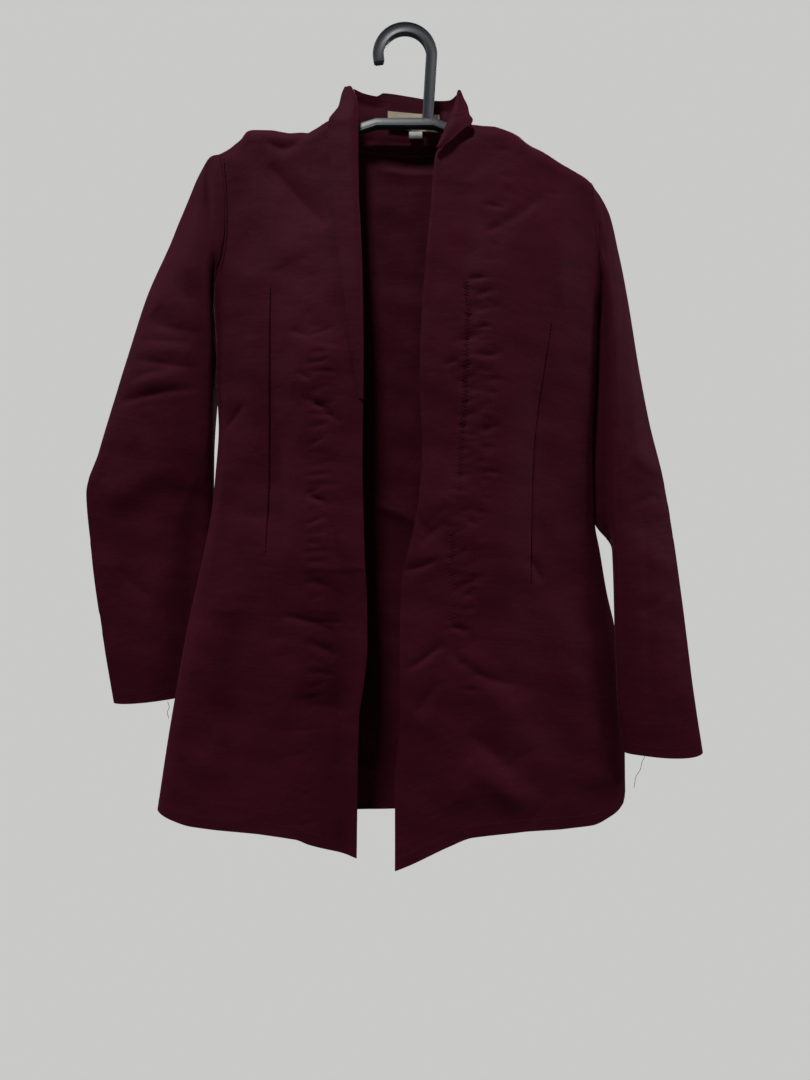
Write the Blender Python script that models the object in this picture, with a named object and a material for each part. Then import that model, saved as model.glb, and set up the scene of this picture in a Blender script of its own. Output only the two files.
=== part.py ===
"""A kebaya on a plain hanger: a long open jacket of smooth dark red cloth that hangs flat from a black hook.

The origin is the underside of the hook's top, where a rail or a nail would carry it. X runs to the wearer's
left, which is the right of someone who looks at the front, the front faces -Y, and Z is up. Lengths are in
millimetres until a mesh is made. Every panel is a wall round a middle surface, worked out from the tables.
"""
import math
from collections import namedtuple

import bmesh
import bpy
import numpy as np

MM = 0.001
WALL = 1.6  # thickness of the cloth walls
SEAM = 0.3  # gap between two pieces that are sewn together
TURN = 12.0  # how far from a seam a panel starts to curve back towards it

# How the turn towards a seam is divided, as angles from the seam to the flat of the panel
TURN_ANGLES = np.radians([0, 5, 25, 47, 68, 90])
FRONT_WIDTH = 150.0  # about how wide a front is at the chest
FLAT_COLUMNS = 7  # columns of a front from the neck to the side's turn
ARMHOLE_ROWS = 7  # rows from the shoulder's turn down to the underarm
BODY_ROWS = 15  # rows from the underarm down to the hem
UNDERARM = -271.0  # height of both underarm points

# Lines that run down the jacket: the height, and the place across on the wearer's right and left
Down = namedtuple("Down", "z x")
EDGE_RIGHT = (
    Down(-84, -46), Down(-122, -45), Down(-187, -43), Down(-233, -41), Down(-322, -39.5), Down(-417, -40),
    Down(-500, -38), Down(-549, -35.5), Down(-592, -35), Down(-625, -38), Down(-662, -43), Down(-786, -44.5),
)
EDGE_LEFT = (
    Down(-90, 43), Down(-110, 35.5), Down(-124, 29), Down(-181, 24), Down(-234, 19), Down(-278, 16),
    Down(-342, 14), Down(-405, 16), Down(-446, 14), Down(-479, 8.5), Down(-508, 2), Down(-532, -3),
    Down(-581, -4.6), Down(-660, -4.6), Down(-713, -9), Down(-791, -9),
)
SIDE_RIGHT = (
    Down(-117, -178.5), Down(-157, -174), Down(-190, -173), Down(-219, -176), Down(-245, -183),
    Down(-271, -184.5), Down(-297, -183), Down(-344, -182), Down(-385, -180), Down(-430, -183),
    Down(-461, -186), Down(-506, -194), Down(-574, -208.5), Down(-645, -221), Down(-687, -228),
    Down(-751, -237.5),
)
SIDE_LEFT = (
    Down(-144, 180.4), Down(-180, 181.5), Down(-201, 184), Down(-224, 187), Down(-251, 188.5),
    Down(-287, 187.7), Down(-356, 184.8), Down(-404, 182.8), Down(-475, 185), Down(-503, 190),
    Down(-543, 197), Down(-584, 206), Down(-640, 211), Down(-694, 215), Down(-737, 215.5),
)

# Lines that run across: the shoulder seams with the neck end of each front, the neckline and the hems
Across = namedtuple("Across", "x z")
SHOULDER_RIGHT = (
    Across(-178.5, -117), Across(-170.6, -112.5), Across(-165, -108), Across(-159, -103), Across(-152.5, -95.2),
    Across(-147, -94), Across(-132, -94.2), Across(-118, -96.4), Across(-112, -97.3), Across(-100.5, -96.7),
    Across(-94.5, -97.2), Across(-89, -94.4), Across(-83, -91), Across(-78, -87.8), Across(-62, -84.5),
    Across(-46, -84),
)
SHOULDER_LEFT = (
    Across(43, -90), Across(54, -87), Across(65, -86), Across(86, -91), Across(112, -97.5),
    Across(138, -115), Across(164, -131.6), Across(180.4, -144),
)
NECKLINE = (
    Across(-78, -87.8), Across(-70, -90), Across(-60, -98), Across(-46, -106), Across(-20, -109.5),
    Across(7, -110), Across(28, -109), Across(45, -102), Across(55, -93), Across(61, -87), Across(65, -86),
)
HEM_RIGHT = (
    Across(-237.5, -751), Across(-200, -761), Across(-157, -763.5), Across(-101, -766), Across(-88, -771.5),
    Across(-44.5, -786),
)
HEM_LEFT = (
    Across(-9, -791), Across(4.5, -786), Across(39, -771), Across(63, -763), Across(110, -761),
    Across(150, -763.5), Across(177, -764), Across(200, -757), Across(213, -748), Across(215.5, -737),
)
HEM_BACK = (Across(-237.5, -751), Across(-120, -757), Across(0, -758), Across(120, -752), Across(215.5, -737))
NECK_RIGHT = -78.0  # where the right shoulder seam meets the collar
NECK_LEFT = 65.0

# How far each panel stands from the plane of the hanger, at its inner edge, middle and side. The front is -Y.
Depth = namedtuple("Depth", "z inner middle side")
DEPTH_RIGHT = (
    Depth(-84, -10, -8, -7), Depth(-120, -12, -9, -8), Depth(-190, -17, -14, -9), Depth(-270, -23, -24, -12),
    Depth(-340, -26, -27, -12), Depth(-420, -29, -25, -13), Depth(-500, -34, -28, -15),
    Depth(-600, -40, -33, -18), Depth(-700, -48, -38, -21), Depth(-791, -52, -42, -24),
)
DEPTH_LEFT = (
    Depth(-84, -11, -8, -7), Depth(-120, -13, -10, -8), Depth(-190, -19, -15, -9), Depth(-270, -25, -25, -11),
    Depth(-340, -29, -28, -10), Depth(-420, -33, -27, -8), Depth(-500, -39, -31, -6),
    Depth(-600, -46, -36, -3), Depth(-700, -53, -42, -2), Depth(-791, -60, -46, -2),
)
# The back is read from the wearer's right side to the left one
DEPTH_BACK = (
    Depth(-84, 9, 12, 9), Depth(-150, 10, 13, 10), Depth(-270, 9, 13, 9), Depth(-400, 3, 12, 8),
    Depth(-500, -1, 11, 10), Depth(-600, -2, 9, 12), Depth(-760, -3, 8, 13),
)
# Where the shoulder and side seams themselves run
Seams = namedtuple("Seams", "z right left")
SEAM_DEPTH = (
    Seams(-84, 0, 0), Seams(-200, 0, 1), Seams(-271, 1, 2), Seams(-344, -2, 2), Seams(-420, -4, 2),
    Seams(-475, -5, 3), Seams(-543, -7, 5), Seams(-600, -8, 6), Seams(-791, -8, 6),
)

# The largest folds: a soft ridge along a line, as wide and as high as given. A trough has a height below 0.
Fold = namedtuple("Fold", "x0 z0 x1 z1 width height")
FOLDS_RIGHT = (
    Fold(-128, -245, -122, -500, 16, -2.5), Fold(-96, -300, -88, -640, 18, 3.5),
    Fold(-150, -470, -215, -700, 22, 3), Fold(-165, -120, -110, -230, 22, 3),
    Fold(-70, -560, -75, -760, 16, -3), Fold(-170, -560, -150, -750, 24, -3),
)
FOLDS_LEFT = (
    Fold(60, -150, 52, -420, 16, -2.5), Fold(130, -290, 120, -520, 16, -2.5), Fold(90, -330, 88, -700, 20, 3.5),
    Fold(60, -590, 110, -690, 16, 4), Fold(60, -690, 120, -745, 16, 4), Fold(80, -130, 160, -230, 24, 3),
    Fold(20, -480, 60, -440, 14, 3), Fold(150, -540, 175, -730, 22, 4),
)
FOLDS_BACK = (
    Fold(-60, -140, -100, -420, 26, 3), Fold(70, -140, 105, -420, 26, 3), Fold(-20, -430, -60, -740, 26, 3),
    Fold(80, -440, 130, -730, 28, 3), Fold(10, -120, 10, -700, 14, -2.5), Fold(-130, -480, -180, -730, 20, -3),
)

# Sleeve rings from the cap to the cuff: the outer line, the fold at the front, the line next to the body,
# and how far the cloth stands off the straight lines between them at the front and the back
Ring = namedtuple("Ring", "outer fold inner front back")
RINGS_RIGHT = (
    Ring((-187.5, -1, -119), (-184, -12, -222), (-188, 4, -275.5), 4, 7.5),
    Ring((-197.5, -2, -134), (-187, -13, -228), (-188.5, 5.5, -282), 5.5, 8),
    Ring((-208.4, -3, -160), (-188, -14, -248), (-186.5, 7.5, -296), 7, 8),
    Ring((-225.3, -4, -202), (-187, -14, -278), (-184.5, 8.5, -313), 9, 8),
    Ring((-249.8, -4, -257), (-186, -13, -312), (-182.6, 9, -333), 10, 8),
    Ring((-267.4, -4, -312), (-186, -11, -345), (-187.5, 7, -356), 10, 7),
    Ring((-288, -2, -376), (-187, -7, -400), (-188.8, 6, -400), 9, 6),
    Ring((-298, -1, -408), (-188, -3, -428), (-189.8, 7, -428), 8.5, 5.5),
    Ring((-311, 1, -448), (-189, 2, -460), (-190.8, 9, -460), 8, 5),
    Ring((-306.5, 5, -512), (-192, 5, -516), (-192, 11, -516), 6, 3.5),
    Ring((-294, 5, -600), (-202, 5, -600), (-202, 10, -600), 6, 4.5),
    Ring((-285.5, 6, -652), (-209, 5, -645), (-209, 10, -645), 6, 4.5),
)
RINGS_LEFT = (
    Ring((190, 0, -158), (190, -13, -226), (191, 5, -284), 4, 8),
    Ring((199.5, 0, -178), (194, -14.5, -245), (189.5, 8, -302), 5, 6),
    Ring((206.5, 0, -207), (197.5, -16, -273), (186.5, 9, -327), 5, 5),
    Ring((215.5, 0, -252), (198.5, -17, -310), (184.8, 9.5, -357), 5, 5),
    Ring((226, 0, -317), (199, -17.5, -355), (183.4, 9.5, -392), 5, 5),
    Ring((237.3, -2, -380), (199, -18, -405), (183, 9.5, -432), 5, 5),
    Ring((250.4, -4, -436), (199, -19, -452), (185, 9, -474), 6, 5),
    Ring((259, -6, -490), (199.5, -20, -500), (203, -4, -505), 6, 5),
    Ring((268, -8, -560), (200.5, -21, -565), (204, -12, -565), 6, 5),
    Ring((277, -11, -640), (203, -21, -640), (206, -13, -640), 6, 5),
    Ring((285, -13, -696), (209, -19, -695), (211, -12, -695), 6, 5),
)
FOLDS_SLEEVE_RIGHT = (
    Fold(-275, -345, -205, -335, 12, 3), Fold(-290, -455, -215, -420, 14, 3),
    Fold(-240, -270, -205, -310, 12, -3),
)
FOLDS_SLEEVE_LEFT = (Fold(255, -430, 215, -410, 10, 2.5), Fold(262, -520, 215, -500, 12, 2))
FRONT_RUN = 10  # steps from the outer line to the fold
INNER_RUN = 2  # steps from the fold to the line next to the body
RING_STEPS = 2  # rings between two rows of the table
UNDERARM_EASE = 1.6  # how much more the sleeve stands off the body at the underarm

# The neck band: its top edge, from the wearer's right to the left, with its depth
Top = namedtuple("Top", "x y z")
BAND_TOP = (
    Top(-57, -3, -53), Top(-51, 2, -51), Top(-40, 6, -53.5), Top(-27.6, 9, -54.5), Top(-21.7, 10, -51),
    Top(7, 11, -54.4), Top(18, 11, -56.4), Top(44, 7, -59.6), Top(50, 3, -57), Top(52.7, -1, -55.5),
)
BAND_COLUMNS = 13
BAND_ROWS = 4
BAND_INSET = 4.0  # how far inside the shoulder seams the band starts

# The lapels: height, outer edge, fold or inner edge, and depth where no panel lies under them
Lapel = namedtuple("Lapel", "z outer inner y")
LAPEL_RIGHT = (
    Lapel(-54, -58.5, -52, -5.5), Lapel(-62, -61.3, -48, -7.5), Lapel(-75, -64, -45.6, -10),
    Lapel(-84, -70, -45.5, -12), Lapel(-89, -73, -45.4, -13), Lapel(-98, -74, -45.3, -13),
    Lapel(-112, -73, -45.2, -14),
    Lapel(-136, -70, -45, -15), Lapel(-164, -68, -44.5, -17), Lapel(-187, -66.5, -43, -19),
    Lapel(-233, -60.5, -41, -22), Lapel(-266, -56.7, -40.2, -25), Lapel(-323, -49, -39.7, -27),
    Lapel(-360, -44, -39.7, -29),
)
LAPEL_LEFT = (
    Lapel(-58, 54, 51.5, -6), Lapel(-66, 56.8, 49.5, -7.5), Lapel(-75, 60.5, 47.2, -9.5),
    Lapel(-84, 62, 43.5, -12), Lapel(-90, 65, 41.5, -13.5), Lapel(-94.5, 63.5, 40, -14.5),
    Lapel(-98, 58, 38.6, -15), Lapel(-102, 53, 37.2, -15.5), Lapel(-110, 45, 34, -16.5),
    Lapel(-119, 33.5, 30, -17.5),
)
SHOULDER_TOP = -84.0
LAPEL_ROWS = 22
LAPEL_COLUMNS = 3

# The label under the neck band and the small tag below it
LABEL_WALL = 1.0
LABEL_GAP = 0.6  # measured in depth, so that the leaning walls stay about a seam's gap apart
LABEL_X = (-17.0, 34.0)
LABEL_Z = (-86.0, -69.5)
LABEL_DROP = 4.2  # how much lower its end on the wearer's left sits
TAG_X = (4.0, 17.0)
TAG_Z = (-95.8, -89.3)

# The hanger: a hook that is wider than it is deep, a stem at the end of a short flat, and two sloping arms
HOOK_INNER = 20.5  # radius inside the hook
HOOK_BAND = 10.7  # width of the hook's bar
HOOK_DEPTH = 8.5
HOOK_TIP_DROP = 8.0  # how far the tip hangs below the middle of the arc
HOOK_TIP_LEAN = 0.8  # and how far it turns in
STEM_LEAN = 4.0  # how far the stem leans in towards the middle at its foot
FLAT_Z = -86.0  # height of the middle of the flat
FLAT_HALF = 28.0
ARM_REACH = 171.6
ARM_HEIGHT = 9.0
ARM_DEPTH = 8.6
ARM_SLOPE = math.radians(19.5)
ARM_TILT = math.radians(1.5)  # the whole hanger hangs a little lower on the wearer's left
ARM_DROOP = 1.5  # how far the arms' ends curve below the straight slope
BAR_SIDES = 14
BAR_ROUNDNESS = 0.75  # 1 is an ellipse, less is squarer

FORWARDS = (0, -1, 0)  # the side that a front shows
BACKWARDS = (0, 1, 0)


def curve(rows, along, value):
    """A smooth line through a table that never overshoots its rows, as a function of one column."""
    pairs = sorted((getattr(row, along), getattr(row, value)) for row in rows)
    at = np.array([p[0] for p in pairs], float)
    return smooth(at, np.array([p[1] for p in pairs], float))


def smooth(at, values):
    """The same for plain arrays; the values may be whole rings of points."""
    gap = np.diff(at).reshape((-1,) + (1,) * (values.ndim - 1))
    rise = np.diff(values, axis=0) / gap
    product = rise[:-1] * rise[1:]
    total = rise[:-1] + rise[1:]
    inner = np.where(product > 0, 2 * product / np.where(total == 0, 1, total), 0)
    slope = np.concatenate([rise[:1], inner, rise[-1:]])

    def read(x):
        x = np.clip(np.asarray(x, float), at[0], at[-1])
        i = np.clip(np.searchsorted(at, x, side="right") - 1, 0, len(at) - 2)
        h = (at[i + 1] - at[i]).reshape(np.shape(x) + (1,) * (values.ndim - 1))
        t = ((x - at[i]).reshape(np.shape(x) + (1,) * (values.ndim - 1))) / h
        return (
            (2 * t**3 - 3 * t**2 + 1) * values[i] + (t**3 - 2 * t**2 + t) * h * slope[i]
            + (3 * t**2 - 2 * t**3) * values[i + 1] + (t**3 - t**2) * h * slope[i + 1]
        )

    return read


def relief(folds, x, z):
    """How high the folds stand at a place; each dies away at its ends."""
    height = np.zeros(np.broadcast(x, z).shape)
    for f in folds:
        run = np.array([f.x1 - f.x0, f.z1 - f.z0], float)
        length = np.hypot(*run)
        along = ((x - f.x0) * run[0] + (z - f.z0) * run[1]) / length**2
        aside = ((x - f.x0) * run[1] - (z - f.z0) * run[0]) / length
        ends = np.clip(np.sin(np.pi * np.clip(along, 0, 1)), 0, 1) ** 0.6
        height += f.height * ends * np.exp(-((aside / f.width) ** 2))
    return height


def depth_at(table, part, z):
    """A panel's depth from a table: part is 0 at its first edge, 1 at its last one."""
    first, middle, last = (curve(table, "z", c)(z) for c in ("inner", "middle", "side"))
    return first * (1 - part) * (1 - 2 * part) + 4 * middle * part * (1 - part) + last * part * (2 * part - 1)


def row_places(top, bottom):
    """Places down a side line, as parts of its length: the shoulder's turn, the armhole and the body."""
    height = top - bottom
    turn = TURN / height * (1 - np.cos(TURN_ANGLES))
    underarm = (top - UNDERARM) / height
    armhole = np.linspace(turn[-1], underarm, ARMHOLE_ROWS + 1)[1:]
    body = np.linspace(underarm, 1, BODY_ROWS + 1)[1:]
    return np.concatenate([turn, armhole, body])


ARMHOLE_ROW = len(TURN_ANGLES) - 1 + ARMHOLE_ROWS  # the row that ends at the underarm
ROWS_RIGHT = row_places(SIDE_RIGHT[0].z, SIDE_RIGHT[-1].z)
ROWS_LEFT = row_places(SIDE_LEFT[0].z, SIDE_LEFT[-1].z)


def side_columns(rows, turn):
    """The last columns before a side, as parts of the width left to it: close together where the panel turns
    into its side seam, and evenly spaced where it ends flat at the armhole."""
    closing = 1 - np.cos(TURN_ANGLES[::-1])
    even = np.linspace(1, 0, len(TURN_ANGLES))
    flat = armhole_share(rows)[:, None] ** 0.5
    return turn * (closing * (1 - flat) + even * flat)


def side_share(rows):
    """How much of its depth a panel keeps in those columns."""
    keep = armhole_share(rows)[:, None]
    turning = np.sin(TURN_ANGLES[::-1])
    even = np.linspace(1, 0, len(TURN_ANGLES))
    flat = keep**0.5
    return keep + (1 - keep) * (turning * (1 - flat) + even * flat)


def column_places(neck, rows):
    """Places across a front in each row, from its edge to its side, one of them where the shoulder ends."""
    turn = TURN / FRONT_WIDTH
    flat = np.linspace(neck, 1 - turn, FLAT_COLUMNS)[:-1]
    inner = np.tile(np.concatenate([[0, neck / 2], flat]), (len(rows), 1))
    return np.concatenate([inner, 1 - side_columns(rows, turn)], axis=1)


def patch(top, bottom, left, right, across, down_left, down_right):
    """A surface between four lines, each given as a function that returns x and z at a part of its length."""
    down = down_left[:, None] * (1 - across) + down_right[:, None] * across
    t, b = (np.stack(line(across), -1) for line in (top, bottom))
    le, ri = (np.stack(line(p), -1)[:, None] for line, p in ((left, down_left), (right, down_right)))
    corners = [np.array(line(p)) for line, p in ((top, 0.0), (top, 1.0), (bottom, 0.0), (bottom, 1.0))]
    d, v = down[..., None], across[..., None]
    flat = (1 - d) * ((1 - v) * corners[0] + v * corners[1]) + d * ((1 - v) * corners[2] + v * corners[3])
    return (1 - d) * t + d * b + (1 - v) * le + v * ri - flat


def side_line(table):
    x_at = curve(table, "z", "x")
    top, bottom = table[0].z, table[-1].z
    return lambda p: (x_at(top + (bottom - top) * np.asarray(p)), top + (bottom - top) * np.asarray(p))


def cross_line(table, start, end):
    z_at = curve(table, "x", "z")
    return lambda p: (start + (end - start) * np.asarray(p), z_at(start + (end - start) * np.asarray(p)))


def armhole_share(rows):
    """How much of its depth a panel keeps at its side: all along the armhole, none at the side seam."""
    underarm = rows[ARMHOLE_ROW]
    part = np.clip((rows / underarm - 0.55) / 0.45, 0, 1)
    return np.where(rows >= underarm, 0, np.cos(part * math.pi / 2) ** 0.8)


def front(edge, side, shoulder, hem, neck_x, rows, depths, seam, folds):
    """The middle surface of a front panel, row by row from the shoulder to the hem."""
    neck = abs(neck_x - edge[0].x) / abs(side[0].x - edge[0].x)
    across = column_places(neck, rows)
    flat = patch(
        cross_line(shoulder, edge[0].x, side[0].x), cross_line(hem, edge[-1].x, side[-1].x),
        side_line(edge), side_line(side), across, rows, rows,
    )
    x, z = flat[..., 0], flat[..., 1]
    seam_y = curve(SEAM_DEPTH, "z", seam)(z) - SEAM / 2
    lie = depth_at(depths, across, z) - relief(folds, x, z)
    plain = np.ones((len(rows), across.shape[1] - len(TURN_ANGLES)))
    at_side = np.concatenate([plain, side_share(rows)], axis=1)
    free = np.clip(1 - across[:1] / neck, 0, 1) ** 0.5  # the neck end isn't sewn to the back
    share = at_side * (free + (1 - free) * top_share(rows))
    return np.stack([x, seam_y + (lie - seam_y) * share, z], -1)


def top_share(rows):
    """How much of its depth a panel keeps in each row, next to a shoulder seam."""
    return np.concatenate([np.sin(TURN_ANGLES), np.ones(len(rows) - len(TURN_ANGLES))])[:, None]


def back(right_front, left_front):
    """The middle surface of the back, in columns that meet those of both fronts at the shoulders."""
    even_neck = np.linspace(NECK_RIGHT, NECK_LEFT, BAND_COLUMNS)[1:-1]
    near_neck = [NECK_RIGHT + BAND_INSET, NECK_LEFT - BAND_INSET]
    start, end = SIDE_RIGHT[0].x, SIDE_LEFT[0].x
    width = end - start
    turns = len(TURN_ANGLES)
    flat_right, flat_left = right_front[0, 2:-turns, 0][::-1], left_front[0, 2:-turns, 0]
    middle = (np.concatenate([flat_right, sorted([*even_neck, *near_neck]), flat_left]) - start) / width
    right_width, left_width = (abs(f[0, 0, 0] - f[0, -1, 0]) for f in (right_front, left_front))
    right_turn, left_turn = (TURN / FRONT_WIDTH * w / width for w in (right_width, left_width))
    across = np.concatenate([
        side_columns(ROWS_RIGHT, right_turn)[:, ::-1], np.tile(middle, (len(ROWS_RIGHT), 1)),
        1 - side_columns(ROWS_LEFT, left_turn),
    ], axis=1)
    beyond_right = tuple(p for p in SHOULDER_RIGHT if p.x < NECK_RIGHT)
    tops = beyond_right + NECKLINE + tuple(p for p in SHOULDER_LEFT if p.x > NECK_LEFT)
    flat = patch(
        cross_line(tops, start, end), cross_line(HEM_BACK, SIDE_RIGHT[-1].x, SIDE_LEFT[-1].x),
        side_line(SIDE_RIGHT), side_line(SIDE_LEFT), across, ROWS_RIGHT, ROWS_LEFT,
    )
    right_count, left_count = right_front.shape[1] - 2, left_front.shape[1] - 2
    flat[0, :right_count, 1] = right_front[0, 2:, 2][::-1]
    flat[0, -left_count:, 1] = left_front[0, 2:, 2]
    x, z = flat[..., 0], flat[..., 1]
    right_y, left_y = (curve(SEAM_DEPTH, "z", c)(z) + SEAM / 2 for c in ("right", "left"))
    seam_y = right_y * (1 - across) + left_y * across
    lie = depth_at(DEPTH_BACK, across, z) + relief(FOLDS_BACK, x, z)
    plain = np.ones((len(ROWS_RIGHT), len(middle)))
    at_sides = np.concatenate([side_share(ROWS_RIGHT)[:, ::-1], plain, side_share(ROWS_LEFT)], axis=1)
    inside = np.clip(np.minimum(x[:1] - NECK_RIGHT, NECK_LEFT - x[:1]) / TURN, 0, 1)
    free = np.sin(np.arccos(1 - inside))  # the neckline isn't sewn to the fronts
    share = at_sides * (free + (1 - free) * top_share(ROWS_RIGHT))
    return np.stack([x, seam_y + (lie - seam_y) * share, z], -1)


def normals(points, closed, towards):
    """Unit directions out of a surface of rows and columns; towards says which side is out."""
    if closed:
        around = np.roll(points, -1, 1) - np.roll(points, 1, 1)
    else:
        around = np.gradient(points, axis=1)
    out = np.cross(around, np.gradient(points, axis=0))
    out /= np.linalg.norm(out, axis=-1, keepdims=True)
    return out if float((out * towards).sum()) > 0 else -out


def sleeve_ring(ring):
    """One ring of a sleeve: along the front to the fold, in to the body, and back round behind."""
    outer, fold, inner = (np.array(p, float) for p in (ring.outer, ring.fold, ring.inner))
    front_at = (np.arange(FRONT_RUN) / FRONT_RUN) ** 1.8
    inner_at = np.arange(INNER_RUN) / INNER_RUN
    back_steps = FRONT_RUN + INNER_RUN
    back_at = 1 - (1 - np.arange(back_steps) / back_steps) ** 1.8
    bulge = np.array([0.0, 1.0, 0.0])

    def run(start, end, at, push):
        return start + np.outer(at, end - start) + np.outer(np.sin(np.pi * at) ** 0.6 * push, bulge)

    return np.concatenate([
        run(outer, fold, front_at, -ring.front), run(fold, inner, inner_at, 0.0),
        run(inner, outer, back_at, ring.back),
    ])


def sleeve(rings, armhole, folds, outwards):
    """The middle surface of a sleeve, from its armhole ring to the cuff."""
    step = np.arange(len(armhole))
    low = np.clip(1 - abs(step - len(armhole) / 2) / 5, 0, 1)[:, None]  # the underarm is eased a little wider
    first = armhole + np.array([outwards, 0, 0]) * SEAM + np.array([outwards, 0, -0.7]) * UNDERARM_EASE * low
    controls = np.stack([first] + [sleeve_ring(r) for r in rings])
    at = np.concatenate([[0], np.cumsum(np.linalg.norm(np.diff(controls[:, 0], axis=0), axis=1))])
    between = [np.linspace(a, b, RING_STEPS, endpoint=False) for a, b in zip(at, at[1:])]
    points = smooth(at, controls)(np.concatenate(between + [at[-1:]]))
    steps = points.shape[1]
    front_share = np.sin(np.pi * np.clip(np.arange(steps) / FRONT_RUN, 0, 1))
    points[..., 1] -= relief(folds, points[..., 0], points[..., 2]) * front_share
    return points


def cloth(name, middle, out, colour, closed=False, wall=WALL):
    """Makes the wall round a middle surface: a grid is laid on its outer side and extruded to the inner one."""
    rows, columns = middle.shape[:2]
    outer = (middle + out * wall / 2).reshape(-1, 3) * MM
    inner = (middle - out * wall / 2).reshape(-1, 3) * MM
    mesh = bmesh.new()
    station = mesh.verts.layers.int.new("station")
    extra = 1 if closed else 0
    bmesh.ops.create_grid(mesh, x_segments=columns - 1 + extra, y_segments=rows - 1, size=1)
    mesh.verts.ensure_lookup_table()
    for i, vertex in enumerate(mesh.verts):
        row, column = divmod(i, columns + extra)
        vertex[station] = row * columns + column % columns
        vertex.co = outer[vertex[station]]
    if closed:
        bmesh.ops.remove_doubles(mesh, verts=mesh.verts, dist=1e-7)
    grown = bmesh.ops.extrude_face_region(mesh, geom=mesh.faces[:], use_keep_orig=True)
    for vertex in [part for part in grown["geom"] if isinstance(part, bmesh.types.BMVert)]:
        vertex.co = inner[vertex[station]]
    bmesh.ops.recalc_face_normals(mesh, faces=mesh.faces)
    return finish(name, mesh, colour, roughness=0.62)


def finish(name, mesh, colour, roughness):
    """Turns a bmesh into a named object with its own material."""
    data = bpy.data.meshes.new(name)
    mesh.to_mesh(data)
    mesh.free()
    data.shade_smooth()
    data.set_sharp_from_angle(angle=math.radians(50))
    made = bpy.data.objects.new(name, data)
    bpy.context.scene.collection.objects.link(made)
    material = bpy.data.materials.new(name)
    material.use_nodes = True
    shader = material.node_tree.nodes["Principled BSDF"]
    shader.inputs["Base Color"].default_value = (*colour, 1)
    shader.inputs["Roughness"].default_value = roughness
    shader.inputs["Metallic"].default_value = 0
    data.materials.append(material)
    return made


MAROON = (0.048, 0.0075, 0.0155)
BEIGE = (0.62, 0.52, 0.34)
WHITE = (0.80, 0.80, 0.78)
BLACK = (0.012, 0.013, 0.015)


def lapel(rows, depth):
    """A lapel's middle surface: it lies on its panel, moved out, and stands off it above as its table says."""
    z = np.linspace(rows[0].z, rows[-1].z, LAPEL_ROWS)
    outer, inner, own = (curve(rows, "z", c)(z) for c in ("outer", "inner", "y"))
    across = np.linspace(0, 1, LAPEL_COLUMNS + 1)[None, :]
    x = outer[:, None] * (1 - across) + inner[:, None] * across
    above = np.maximum(z - SHOULDER_TOP, 0)[:, None]  # no panel lies under it there
    y = np.minimum(depth(x, z[:, None]) - WALL - SEAM + above, own[:, None])
    return np.stack([x, y, np.broadcast_to(z[:, None], x.shape)], -1)


def panel_depth(edge, side, depths, folds):
    """The depth of a front panel's middle surface at any place on its flat."""
    edge_x, side_x = curve(edge, "z", "x"), curve(side, "z", "x")

    def read(x, z):
        part = np.clip((x - edge_x(z)) / (side_x(z) - edge_x(z)), 0, 1)
        return depth_at(depths, part, z) - relief(folds, x, z)

    return read


def neck_band(back_points):
    """The stand of the collar: from the back's neckline up to its own top edge."""
    row = back_points[0]
    inside = (row[:, 0] > NECK_RIGHT + 1) & (row[:, 0] < NECK_LEFT - 1)
    low = row[inside].copy()
    from_end = np.minimum(low[:, 0] - low[0, 0], low[-1, 0] - low[:, 0])
    low[:, 2] += SEAM + np.clip(1 - from_end / TURN, 0, 1)
    part = (low[:, 0] - low[0, 0]) / (low[-1, 0] - low[0, 0])
    top_x = BAND_TOP[0].x + (BAND_TOP[-1].x - BAND_TOP[0].x) * part
    high = np.stack([top_x, curve(BAND_TOP, "x", "y")(top_x), curve(BAND_TOP, "x", "z")(top_x)], -1)
    up = np.linspace(0, 1, BAND_ROWS + 1)[:, None, None]
    return low * (1 - up) + high * up


def band_depth(band):
    """The depth of the band's middle surface at a place across and up."""
    middle = band.shape[1] // 2

    def read(x, z):
        up = np.interp(z, band[:, middle, 2], np.linspace(0, 1, len(band)))[..., None]
        row = band[0] * (1 - up[..., None]) + band[-1] * up[..., None]
        found = [np.interp(a, r[:, 0], r[:, 1]) for a, r in zip(x.ravel(), row.reshape(-1, *band[0].shape))]
        return np.array(found).reshape(x.shape)

    return read


def small_piece(name, x_range, z_range, surface, colour, drop=0.0):
    """A small flat piece that lies inside the neck band, made from the band's points, moved out."""
    across, down = np.linspace(*x_range, 4), np.linspace(*z_range, 3)
    x, z = np.meshgrid(across, down)
    z = z - drop * (x - x_range[0]) / (x_range[1] - x_range[0])
    y = surface(x, z) - WALL / 2 - LABEL_GAP - LABEL_WALL / 2
    points = np.stack([x, y, z], -1)
    return cloth(name, points, normals(points, False, FORWARDS), colour, wall=LABEL_WALL)


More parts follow.
